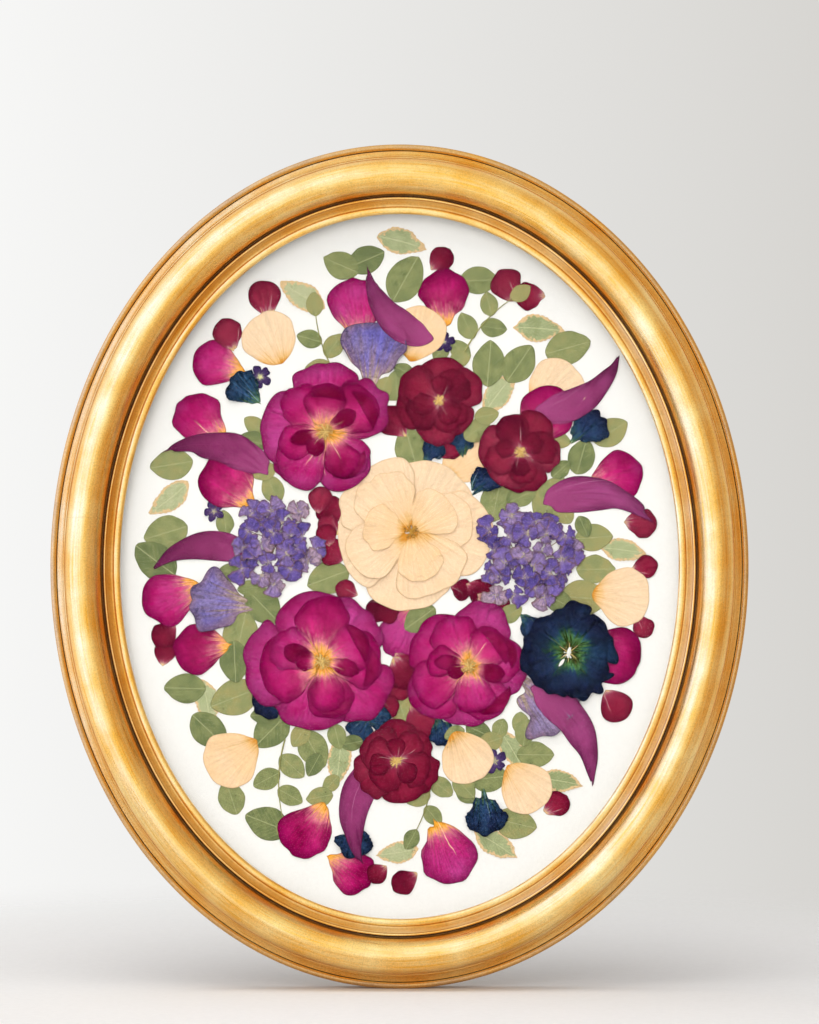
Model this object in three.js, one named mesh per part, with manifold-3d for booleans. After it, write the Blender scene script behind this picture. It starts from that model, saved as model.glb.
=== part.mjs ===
// An oval gilt frame with a glazed collection of pressed flowers.
//
// Millimetres. X runs to the right, Z up, and the front looks along -Y. The
// origin is the centre of the oval, halfway through the frame's depth.
// Heights are measured from the frame's back plane towards the viewer.
import * as THREE from 'three';
import { mergeVertices } from 'three/addons/utils/BufferGeometryUtils.js';
import Module from 'manifold-3d';

// ---- Driving dimensions ---------------------------------------------------

const GLASS = { x: 203.2, z: 254 };     // half of a 16 by 20 inch oval glass
const GLASS_COVER = 9.2;                // how far the lip reaches over the glass
const FACE_WIDTH = 49;                  // the moulding, measured across its face
const DEPTH = 36;                       // the moulding, from back to front
const GAP = 0.3;                        // air between pieces that touch
const RABBET_PLAY = 0.4;                // room round the glass in its rabbet

const RECESS = 4.6;                     // the backing board lies this deep
const BACKING_THICKNESS = 3;
const MOUNT_THICKNESS = 2.4;
const SPACER_THICKNESS = 5.6;           // keeps the glass off the flowers
const GLASS_THICKNESS = 2;
const SPACER_WIDTH = 5;

const PETAL = 0.5;                      // thickness of a pressed petal or leaf
const STEM_WIDTH = 1.4;
const FIELD = { x: 178, z: 227 };       // half of the oval that the flowers fill

const RING_STEPS = 48;                  // facets round the oval
const LOOSE_STEPS = 5;                  // facets along each side of a loose petal
const BLOOM_STEPS = 5;                  // the same for a petal in a bloom or on a sprig

// Heights of the stack in the rabbet, worked out from the back plane.
const MOUNT_BACK = RECESS + BACKING_THICKNESS + GAP;
const MOUNT_FRONT = MOUNT_BACK + MOUNT_THICKNESS;
const SPACER_BACK = MOUNT_FRONT + GAP;
const GLASS_BACK = SPACER_BACK + SPACER_THICKNESS + GAP;
const LIP_BACK = GLASS_BACK + GLASS_THICKNESS + GAP;

const SIGHT = { x: GLASS.x - GLASS_COVER, z: GLASS.z - GLASS_COVER };
const OUTER = { x: SIGHT.x + FACE_WIDTH, z: SIGHT.z + FACE_WIDTH };
const RABBET_WALL = FACE_WIDTH - GLASS_COVER - RABBET_PLAY;

// ---- Helpers --------------------------------------------------------------

const wasm = await Module();
wasm.setup();

const radians = THREE.MathUtils.degToRad;
const model = new THREE.Group();

function material(colour, roughness, metalness = 0) {
  return new THREE.MeshStandardMaterial({ color: colour, roughness, metalness });
}

function add(name, geometry, finish) {
  const mesh = new THREE.Mesh(geometry, finish.clone());
  mesh.name = name;
  model.add(mesh);
  return mesh;
}

// A geometry as a solid that can be joined or cut.
function solid(geometry) {
  const bare = geometry.clone();
  bare.deleteAttribute('normal');
  bare.deleteAttribute('uv');
  const merged = mergeVertices(bare, 1e-4);
  return new wasm.Manifold(new wasm.Mesh({
    numProp: 3,
    vertProperties: new Float32Array(merged.attributes.position.array),
    triVerts: new Uint32Array(merged.index.array),
  }));
}

function geometryOf(body) {
  const mesh = body.getMesh();
  const geometry = new THREE.BufferGeometry();
  geometry.setAttribute('position', new THREE.BufferAttribute(new Float32Array(mesh.vertProperties), 3));
  geometry.setIndex(new THREE.BufferAttribute(new Uint32Array(mesh.triVerts), 1));
  return geometry;
}

// A flat outline in X and Z, given thickness between two heights.
function prism(outline, low, high) {
  const geometry = new THREE.ExtrudeGeometry(new THREE.Shape(outline), {
    depth: high - low,
    bevelEnabled: false,
  });
  geometry.rotateX(Math.PI / 2);        // the drawing stands up and its depth runs towards -Y
  geometry.translate(0, DEPTH / 2 - low, 0);
  return geometry;
}

function oval(halfX, halfZ) {
  return Array.from({ length: RING_STEPS }, (_, i) => {
    const turn = (i / RING_STEPS) * Math.PI * 2;
    return new THREE.Vector2(halfX * Math.cos(turn), halfZ * Math.sin(turn));
  });
}

// A closed profile carried round the oval. Its points are distances inward
// from the outer edge, and heights; every ring stays an ellipse.
function ovalRing(profile) {
  const points = profile.map(([inward, height]) => new THREE.Vector2(OUTER.x - inward, DEPTH / 2 - height));
  points.reverse();
  const geometry = new THREE.LatheGeometry([...points, points[0].clone()], RING_STEPS);
  const position = geometry.attributes.position;
  for (let i = 0; i < position.count; i += 1) {
    const turn = Math.atan2(position.getX(i), position.getZ(i));
    position.setZ(i, position.getZ(i) + (OUTER.z - OUTER.x) * Math.cos(turn));
  }
  return geometry;
}

// Points on an elliptical arc of the profile, from one angle to another.
function arc(inward, height, halfWidth, halfHeight, from, to, steps) {
  return Array.from({ length: steps + 1 }, (_, i) => {
    const turn = radians(from + ((to - from) * i) / steps);
    return [inward + halfWidth * Math.cos(turn), height + halfHeight * Math.sin(turn)];
  });
}

// ---- The frame and what it holds together ----------------------------------

const gilt = material('#d9a03c', 0.35, 1);
const clearGlass = material('#f4f8f6', 0.05);
const whitePaper = material('#f6f4f2', 0.9);
const foamCore = material('#f1efe9', 0.85);
const hardboard = material('#8a6443', 0.8);
const steel = material('#b9bcc0', 0.35, 1);

// From the back's outer corner over the front to the rabbet: a turned bead at
// the rim, a cove, a broad half-round swell, a groove, a fine bead, a shallow
// slope and the rounded lip over the glass.
function mouldingProfile() {
  return [
    [4, 0],
    [0.9, 10.5],
    ...arc(2.2, 14.5, 2.2, 2.2, 180, 0, 4),
    [4.7, 15],
    [7.2, 16.6],
    [9.4, 19.5],
    [10.3, 19.8],
    ...arc(23.1, 21, 12.8, 15, 180, 0, 8),
    [36.3, 19.7],
    [37.3, 20.1],
    ...arc(38.3, 21.9, 0.9, 1.1, 180, 0, 2),
    [41.2, 20.9],
    [43.6, 20.4],
    [44.3, 22],
    [45.8, 22.8],
    [47.4, 22.7],
    [48.6, 22],
    [FACE_WIDTH, 21.2],
    [FACE_WIDTH, LIP_BACK],
    [RABBET_WALL, LIP_BACK],
    [RABBET_WALL, 0],
  ];
}

function rabbetPlate(low, thickness) {
  return prism(oval(GLASS.x, GLASS.z), low, low + thickness);
}

function buildFrame() {
  add('frame_moulding', ovalRing(mouldingProfile()), gilt);
  add('glass_pane', rabbetPlate(GLASS_BACK, GLASS_THICKNESS), clearGlass);
  const spacerOuter = OUTER.x - GLASS.x;
  add('spacer_ring', ovalRing([
    [spacerOuter, SPACER_BACK],
    [spacerOuter, SPACER_BACK + SPACER_THICKNESS],
    [spacerOuter + SPACER_WIDTH, SPACER_BACK + SPACER_THICKNESS],
    [spacerOuter + SPACER_WIDTH, SPACER_BACK],
  ]), foamCore);
  add('mount_board', rabbetPlate(MOUNT_BACK, MOUNT_THICKNESS), whitePaper);
  add('backing_board', rabbetPlate(RECESS, BACKING_THICKNESS), hardboard);
}

// Thin steel points, pushed into the rabbet wall, that hold the stack in.
const POINTS = { count: 6, length: 12, width: 8, thickness: 0.8 };

function buildPoints() {
  const high = RECESS - GAP;
  for (let i = 0; i < POINTS.count; i += 1) {
    const turn = radians(30 + (360 * i) / POINTS.count);
    const reach = POINTS.length / 2 + 1;
    const x = (GLASS.x - reach) * Math.cos(turn);
    const z = (GLASS.z - reach) * Math.sin(turn);
    const facing = Math.atan2(z / GLASS.z ** 2, x / GLASS.x ** 2);
    const outline = [[-1, -1], [1, -1], [1, 1], [-1, 1]].map(([along, across]) => {
      const corner = new THREE.Vector2((along * POINTS.length) / 2, (across * POINTS.width) / 2);
      return corner.rotateAround(new THREE.Vector2(), facing).add(new THREE.Vector2(x, z));
    });
    add(`framers_point_${i + 1}`, prism(outline, high - POINTS.thickness, high), steel);
  }
}

// A hanger on the backing board: a riveted strap folded round a ring.
const HANGER = { z: 196, strapWidth: 18, strapLength: 30, thickness: 1, ringRadius: 10, wire: 1 };

function buildHanger() {
  const high = RECESS - GAP;
  const half = HANGER.strapWidth / 2;
  const foot = HANGER.z - HANGER.strapLength / 2;
  const top = HANGER.z + HANGER.strapLength / 2;
  const strap = [
    [-half, foot],
    [half, foot],
    [half, top - half],
    [half / 2, top],
    [-half / 2, top],
    [-half, top - half],
  ].map(([x, z]) => new THREE.Vector2(x, z));
  add('hanger_strap', prism(strap, high - HANGER.thickness, high), steel);

  const ringHeight = high - HANGER.thickness - GAP - HANGER.wire;
  const ring = new THREE.TorusGeometry(HANGER.ringRadius, HANGER.wire, 6, 14);
  ring.rotateX(Math.PI / 2);
  ring.translate(0, DEPTH / 2 - ringHeight, top + HANGER.wire);
  add('hanger_ring', ring, steel);
}

// ---- Pressed specimens -------------------------------------------------------
//
// Every specimen is a stack of flat plies. A ply is an outline in X and Z with
// the heights it lies between, counted from the lowest point of its specimen.

function ply(outline, low = 0, thickness = PETAL) {
  return { outline, low, high: low + thickness };
}

// The outline of a petal or leaf that grows along +Z from its base: half its
// width is sin(pi u^p)^q along its length u, so p moves the widest place
// towards the tip and q rounds it. A bend curls the blade along an arc.
function blade({ length, width, p, q, bend = 0, steps = LOOSE_STEPS, foot = -length / 2 }) {
  const right = [];
  const left = [];
  for (let i = 0; i <= steps; i += 1) {
    const u = (1 - Math.cos((Math.PI * i) / steps)) / 2;
    const half = (width / 2) * Math.sin(Math.PI * u ** p) ** q;
    const turn = radians(bend) * (u - 0.5);
    const radius = bend === 0 ? 0 : length / radians(bend);
    const x = radius * (1 - Math.cos(turn));
    const z = bend === 0 ? length * u + foot : radius * Math.sin(turn);
    right.push(new THREE.Vector2(x + half * Math.cos(turn), z - half * Math.sin(turn)));
    left.push(new THREE.Vector2(x - half * Math.cos(turn), z + half * Math.sin(turn)));
  }
  return [...right, ...left.reverse().slice(1, -1)];
}

// Turns an outline clockwise, as seen from the front, and then moves it.
function place(outline, x, z, clockwise) {
  const centre = new THREE.Vector2();
  const shift = new THREE.Vector2(x, z);
  return outline.map((point) => point.clone().rotateAround(centre, -radians(clockwise)).add(shift));
}

// A round outline whose edge waves in and out.
function wavyDisc(radius, waves, depth, steps) {
  return Array.from({ length: steps }, (_, i) => {
    const turn = (i / steps) * Math.PI * 2;
    const reach = radius * (1 - depth * (0.5 - 0.5 * Math.cos(waves * turn)));
    return new THREE.Vector2(reach * Math.sin(turn), reach * Math.cos(turn));
  });
}

// A whorl is a ring of petals about the middle of a bloom, each one lying on
// the one before, so that their plies climb by less than a petal's thickness.
const CLIMB = 0.3;

function whorl({ count, length, width, p, q, turn, low }) {
  return Array.from({ length: count }, (_, i) => {
    const petal = blade({ length, width, p, q, steps: BLOOM_STEPS, foot: -0.06 * length });
    return ply(place(petal, 0, 0, turn + (360 * i) / count), low + (i % 3) * CLIMB);
  });
}

function rose(radius, turn) {
  const outer = { count: 5, length: radius, width: radius * 1.1, p: 1.5, q: 0.55, turn, low: 0 };
  const inner = {
    count: 3, length: radius * 0.58, width: radius * 0.66, p: 1.4, q: 0.6, turn: turn + 20, low: 2.4 * CLIMB,
  };
  const stamens = ply(wavyDisc(radius * 0.2, 1, 0, 8), 3 * CLIMB, PETAL + 3 * CLIMB);
  return [...whorl(outer), ...whorl(inner), stamens];
}

// A head of four-petalled florets, a little turned, that press flat into one
// rounded cluster.
function hydrangea(radius, turn) {
  const floret = (x, z, size, thickness) => (
    ply(place(wavyDisc(size, 4, 0.35, 8), x, z, turn + 11), CLIMB, thickness)
  );
  const ring = Array.from({ length: 7 }, (_, i) => {
    const angle = radians(turn + (360 * i) / 7);
    const out = radius * 0.6;
    return floret(out * Math.sin(angle), out * Math.cos(angle), radius * 0.28, PETAL + CLIMB);
  });
  return [
    ply(wavyDisc(radius, 9, 0.14, 27)),
    ...ring,
    floret(0, 0, radius * 0.32, PETAL + 2 * CLIMB),
  ];
}

// A double bloom with a ruffled skirt, an inner ruffle and a small throat.
function lisianthus(radius, turn) {
  return [
    ply(place(wavyDisc(radius, 7, 0.12, 28), 0, 0, turn)),
    ply(place(wavyDisc(radius * 0.68, 6, 0.16, 18), 0, 0, turn), CLIMB),
    ply(place(wavyDisc(radius * 0.3, 5, 0.3, 10), 0, 0, turn), 2 * CLIMB),
  ];
}

// A stem with leaves on both sides and one at its tip.
function sprig({ length, leaves, leafLength, bend }) {
  const stemPoint = (u, side) => {
    const turn = radians(bend) * (u - 0.5);
    const radius = length / radians(bend) + (side * STEM_WIDTH) / 2;
    return new THREE.Vector2(length / radians(bend) - radius * Math.cos(turn), radius * Math.sin(turn));
  };
  const marks = [0, 0.25, 0.5, 0.75, 1];
  const stem = [...marks.map((u) => stemPoint(u, -1)), ...marks.reverse().map((u) => stemPoint(u, 1))];
  const blades = Array.from({ length: leaves }, (_, i) => {
    const last = i === leaves - 1;
    const u = last ? 1 : 0.22 + (0.62 * i) / (leaves - 1);
    const root = stemPoint(u, 0);
    const spread = last ? 0 : 58 * (i % 2 === 0 ? -1 : 1);
    const leaf = blade({
      length: leafLength * (1 - 0.06 * i),
      width: leafLength * 0.7,
      p: 0.9,
      q: 0.7,
      steps: BLOOM_STEPS,
      foot: -STEM_WIDTH / 2,
    });
    return ply(place(leaf, root.x, root.y, spread + bend * (u - 0.5)), 0.1);
  });
  return [ply(stem), ...blades];
}

// ---- Finishes of the specimens -----------------------------------------------

const dried = {
  magenta: material('#a3135f', 0.75),
  burgundy: material('#6e1f3d', 0.8),
  cream: material('#f6e3b8', 0.8),
  hydrangea: material('#6a4fa5', 0.8),
  navy: material('#1a2a52', 0.8),
  delphinium: material('#7a66c0', 0.8),
  calla: material('#8a3a72', 0.75),
  leaf: material('#7c9a64', 0.8),
};

// ---- Where everything lies ---------------------------------------------------

// Blooms fill the middle, in the order that they are laid down.
const BLOOMS = [
  { name: 'rose_burgundy_1', kind: rose, finish: dried.burgundy, x: 28, z: 116, radius: 32, turn: 10 },
  { name: 'rose_burgundy_2', kind: rose, finish: dried.burgundy, x: 84, z: 80, radius: 31, turn: 40 },
  { name: 'rose_burgundy_3', kind: rose, finish: dried.burgundy, x: -2, z: -136, radius: 31, turn: 0 },
  { name: 'rose_cream', kind: rose, finish: dried.cream, x: 8, z: 24, radius: 57, turn: 25 },
  { name: 'hydrangea_left', kind: hydrangea, finish: dried.hydrangea, x: -86, z: 16, radius: 37, turn: 0 },
  { name: 'hydrangea_right', kind: hydrangea, finish: dried.hydrangea, x: 90, z: 6, radius: 41, turn: 20 },
  { name: 'rose_magenta_1', kind: rose, finish: dried.magenta, x: -52, z: 94, radius: 50, turn: 0 },
  { name: 'rose_magenta_2', kind: rose, finish: dried.magenta, x: 48, z: -70, radius: 47, turn: 30 },
  { name: 'rose_magenta_3', kind: rose, finish: dried.magenta, x: -54, z: -66, radius: 54, turn: 50 },
  { name: 'lisianthus_navy', kind: lisianthus, finish: dried.navy, x: 118, z: -60, radius: 33, turn: 0 },
];

// Loose pieces of each kind, at their middle size.
const petal = (shape) => (size, bend) => [ply(blade({ ...shape(size), bend }))];
const LOOSE = {
  M: {
    name: 'petal_magenta', finish: dried.magenta, length: 45, bend: 0,
    kind: petal((size) => ({ length: size, width: size * 0.84, p: 1.45, q: 0.62 })),
  },
  C: {
    name: 'petal_cream', finish: dried.cream, length: 39, bend: 0,
    kind: petal((size) => ({ length: size, width: size * 0.98, p: 1.3, q: 0.5 })),
  },
  D: {
    name: 'petal_delphinium', finish: dried.delphinium, length: 44, bend: 0,
    kind: petal((size) => ({ length: size, width: size * 0.95, p: 1.6, q: 0.6 })),
  },
  K: {
    name: 'calla', finish: dried.calla, length: 78, bend: 72,
    kind: petal((size) => ({ length: size, width: size * 0.3, p: 0.62, q: 0.95 })),
  },
  N: {
    name: 'ruffle_navy', finish: dried.navy, length: 30, bend: 0,
    kind: petal((size) => ({ length: size, width: size * 0.85, p: 1.7, q: 0.6 })),
  },
  S: {
    name: 'sprig', finish: dried.leaf, length: 52, bend: 30,
    kind: (size, bend) => sprig({ length: size, leaves: 4, leafLength: size * 0.4, bend }),
  },
};

// Rings of loose pieces round the blooms, clockwise from the top. A letter is
// a kind in LOOSE, in small type where it bends the other way, and a dot
// leaves the place free. Reach 1 is the edge of the flower field.
const RINGS = [
  { reach: 0.85, first: 0, places: '. M S . C N M . C M . . C N M . N M s C . M M . . M N C . M' },
  { reach: 0.68, first: 6, places: 'C . . M . . . . D . C S . . . N . D . M . . S D' },
];

// Callas lie over the other loose pieces, with their points outward; side -1
// bends the other way.
const CALLAS = [
  { x: -126, z: 84, turn: -78, side: -1 },
  { x: -8, z: 176, turn: -42, side: 1 },
  { x: 130, z: 118, turn: 56, side: -1 },
  { x: 140, z: 50, turn: 98, side: 1 },
  { x: 124, z: -112, turn: 148, side: 1 },
  { x: -32, z: -170, turn: 188, side: -1 },
  { x: -140, z: 14, turn: -98, side: -1 },
];

function looseRow() {
  const row = [];
  const counts = {};
  RINGS.forEach((ring) => {
    const places = ring.places.split(' ');
    places.forEach((letter, i) => {
      if (letter === '.') return;
      const key = letter.toUpperCase();
      const kind = LOOSE[key];
      const number = (counts[key] ?? 0) + 1;
      counts[key] = number;
      const clock = ring.first + (360 * i) / places.length;
      const reach = ring.reach + 0.045 * Math.sin(2.3 * i + 1);
      const x = FIELD.x * reach * Math.sin(radians(clock));
      const z = FIELD.z * reach * Math.cos(radians(clock));
      const side = letter === key ? 1 : -1;
      row.push({
        name: `${kind.name}_${number}`,
        finish: kind.finish,
        plies: kind.kind(kind.length * (1 + 0.08 * Math.sin(5 * i)), side * kind.bend),
        x,
        z,
        turn: THREE.MathUtils.radToDeg(Math.atan2(x, z)) + 16 * Math.sin(3 * i + 1) + side * kind.bend * 0.4,
        bottom: key === 'S' ? 0 : 1,
      });
    });
  });
  CALLAS.forEach(({ side, ...where }, i) => {
    const { name, finish, length, bend, kind } = LOOSE.K;
    const size = length * (1 + 0.08 * Math.sin(5 * i));
    row.push({ ...where, name: `${name}_${i + 1}`, finish, plies: kind(size, side * bend), bottom: 2 });
  });
  return row.sort((a, b) => a.bottom - b.bottom);
}

// ---- Laying the specimens on the mount board ----------------------------------

function crosses(a, b, c, d) {
  const side = (p, q, r) => Math.sign((q.x - p.x) * (r.y - p.y) - (q.y - p.y) * (r.x - p.x));
  return side(a, b, c) !== side(a, b, d) && side(c, d, a) !== side(c, d, b);
}

function inside(point, outline) {
  let within = false;
  outline.forEach((a, i) => {
    const b = outline[(i + 1) % outline.length];
    const level = (a.y > point.y) !== (b.y > point.y);
    if (level && point.x < a.x + ((b.x - a.x) * (point.y - a.y)) / (b.y - a.y)) within = !within;
  });
  return within;
}

function overlap(first, second) {
  const a = new THREE.Box2().setFromPoints(first);
  const b = new THREE.Box2().setFromPoints(second);
  if (!a.expandByScalar(GAP).intersectsBox(b)) return false;
  if (inside(first[0], second) || inside(second[0], first)) return true;
  return first.some((p, i) => second.some((r, j) => (
    crosses(p, first[(i + 1) % first.length], r, second[(j + 1) % second.length])
  )));
}

// Each specimen comes to rest one gap above the highest ply that any ply of
// its own lies over, or above the board.
function laySpecimens() {
  const laid = [];
  const lay = ({ name, plies, x, z, turn, finish }) => {
    const moved = plies.map((each) => ({ ...each, outline: place(each.outline, x, z, turn) }));
    const rests = moved.flatMap((each) => laid
      .filter((under) => overlap(each.outline, under.outline))
      .map((under) => under.high + GAP - each.low));
    const base = Math.max(MOUNT_FRONT + GAP, ...rests);
    const raised = moved.map((each) => ({ ...each, low: each.low + base, high: each.high + base }));
    laid.push(...raised);
    const bodies = raised.map((each) => solid(prism(each.outline, each.low, each.high)));
    add(name, geometryOf(wasm.Manifold.union(bodies)), finish);
  };
  looseRow().forEach(lay);
  BLOOMS.forEach(({ kind, radius, turn, ...bloom }) => lay({ ...bloom, plies: kind(radius, turn), turn: 0 }));
}

buildFrame();
buildPoints();
buildHanger();
laySpecimens();

export default model;
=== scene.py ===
"""An oval gilt frame that holds a glazed collection of pressed flowers.

Shapes are worked out in millimetres, with X to the right, Z up and heights
counted from the mount board towards the viewer. They become metres when a
mesh is written. Petals and leaves are thin closed sheets, laid one after
another on the board, so that each drapes over those already there.
"""
import logging
import math
from dataclasses import dataclass, field, replace
from enum import Enum

import bpy
import numpy as np
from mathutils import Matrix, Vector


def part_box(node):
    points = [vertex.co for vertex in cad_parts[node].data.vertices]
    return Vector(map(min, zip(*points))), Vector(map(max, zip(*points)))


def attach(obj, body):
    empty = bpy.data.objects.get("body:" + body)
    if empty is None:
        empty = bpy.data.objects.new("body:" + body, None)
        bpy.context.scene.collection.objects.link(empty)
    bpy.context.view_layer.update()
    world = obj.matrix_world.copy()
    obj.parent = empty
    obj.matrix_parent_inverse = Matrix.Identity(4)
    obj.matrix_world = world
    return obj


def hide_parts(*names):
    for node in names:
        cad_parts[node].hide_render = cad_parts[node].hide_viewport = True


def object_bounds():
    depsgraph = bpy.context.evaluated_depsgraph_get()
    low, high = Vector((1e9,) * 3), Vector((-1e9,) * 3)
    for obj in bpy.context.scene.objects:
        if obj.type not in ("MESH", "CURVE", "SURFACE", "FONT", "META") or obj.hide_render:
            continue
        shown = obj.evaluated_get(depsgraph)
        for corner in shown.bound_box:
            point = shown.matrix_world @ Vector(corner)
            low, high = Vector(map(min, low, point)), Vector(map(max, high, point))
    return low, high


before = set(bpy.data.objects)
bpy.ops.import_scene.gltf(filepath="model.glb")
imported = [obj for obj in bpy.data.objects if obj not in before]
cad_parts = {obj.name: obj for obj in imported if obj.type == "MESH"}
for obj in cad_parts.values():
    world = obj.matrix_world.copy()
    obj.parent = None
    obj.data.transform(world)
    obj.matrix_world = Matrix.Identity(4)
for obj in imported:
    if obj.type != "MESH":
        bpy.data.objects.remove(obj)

MM = 0.001
SEED = 41
CAD_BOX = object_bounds()
log = logging.getLogger("pressed_flowers")


# ---- Colours and shader graphs ------------------------------------------------


def linear(code: str) -> tuple[float, float, float, float]:
    """Turns an sRGB hex colour such as "#D9A03C" into linear RGBA.

    Args:
        code: the colour, with its leading "#".

    Returns:
        Red, green, blue and an alpha of 1.
    """
    parts = [int(code[i:i + 2], 16) / 255 for i in (1, 3, 5)]
    values = [c / 12.92 if c <= 0.04045 else ((c + 0.055) / 1.055) ** 2.4 for c in parts]
    return (*values, 1.0)


@dataclass
class Graph:
    """A material's node tree, with one way of adding a node to it."""

    name: str
    material: bpy.types.Material = field(init=False)

    def __post_init__(self) -> None:
        """Starts the material with an empty node tree."""
        self.material = bpy.data.materials.new(self.name)
        self.material.use_nodes = True
        self.material.node_tree.nodes.clear()

    def node(self, kind: str, inputs: dict | None = None, out: int | str = 0,
             stops: list[tuple[float, str]] | None = None, **settings) -> bpy.types.NodeSocket:
        """Adds a node with its settings and links.

        Args:
            kind: the node's type name after "ShaderNode".
            inputs: socket name or number to a value, or to a socket to link.
            out: the output socket that is returned.
            stops: positions and hex colours, for a colour ramp.
            settings: the node's own properties.

        Returns:
            The chosen output socket, or the node's first one.
        """
        made = self.material.node_tree.nodes.new("ShaderNode" + kind)
        for name, value in settings.items():
            setattr(made, name, value)
        if stops:
            elements = made.color_ramp.elements
            while len(elements) < len(stops):
                elements.new(0.5)
            for element, (position, code) in zip(elements, stops):
                element.position = position
                element.color = linear(code)
        for key, value in (inputs or {}).items():
            socket = made.inputs[key]
            if isinstance(value, bpy.types.NodeSocket):
                self.material.node_tree.links.new(value, socket)
            else:
                socket.default_value = value
        return made.outputs[out] if len(made.outputs) else None

    def math(self, operation: str, *values: float | bpy.types.NodeSocket) -> bpy.types.NodeSocket:
        """A sum, product or other operation on one to three values."""
        return self.node("Math", dict(enumerate(values)), operation=operation)

    def mix(self, share: float | bpy.types.NodeSocket, base: object, over: object,
            blend: str = "MIX") -> bpy.types.NodeSocket:
        """One colour over another, by a share from 0 to 1.

        Args:
            share: how much of the upper colour shows.
            base: the lower colour, as a value or a socket.
            over: the upper colour, or a grey that the lower one is multiplied by.
            blend: "MIX" or "MULTIPLY".

        Returns:
            The colour.
        """
        return self.node("Mix", {0: share, 6: base, 7: over}, out=2, data_type="RGBA", blend_type=blend)

    def span(self, value: bpy.types.NodeSocket, first: float, last: float, low: float = 0.0,
             high: float = 1.0, smooth: bool = False) -> bpy.types.NodeSocket:
        """Maps a value from one range to another and holds it there.

        Args:
            value: what is mapped.
            first: the value that becomes low.
            last: the value that becomes high.
            low: the result at the first value.
            high: the result at the last value.
            smooth: whether it eases in and out.

        Returns:
            The mapped value.
        """
        return self.node("MapRange", {0: value, 1: first, 2: last, 3: low, 4: high},
                         interpolation_type="SMOOTHSTEP" if smooth else "LINEAR")

    def noise(self, place: bpy.types.NodeSocket, size_mm: float, detail: float,
              roughness: float = 0.5) -> bpy.types.NodeSocket:
        """Noise whose patches are about as wide as a size in millimetres.

        Args:
            place: the coordinate.
            size_mm: the width of a patch.
            detail: how many finer layers it has.
            roughness: how strong those are.

        Returns:
            The noise, from 0 to 1.
        """
        return self.node("TexNoise", {"Vector": place, "Scale": 1 / (size_mm * MM), "Detail": detail,
                                      "Roughness": roughness})

    def value(self, name: str) -> bpy.types.NodeSocket:
        """A number that the mesh holds at each point."""
        return self.node("Attribute", out="Fac", attribute_name=name)

    def finish(self, **inputs) -> bpy.types.Material:
        """Closes the graph with a Principled shader that takes the inputs."""
        named = {key.replace("_", " "): value for key, value in inputs.items()}
        shader = self.node("BsdfPrincipled", named)
        self.node("OutputMaterial", {"Surface": shader})
        return self.material


# ---- Finishes -------------------------------------------------------------------


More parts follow.
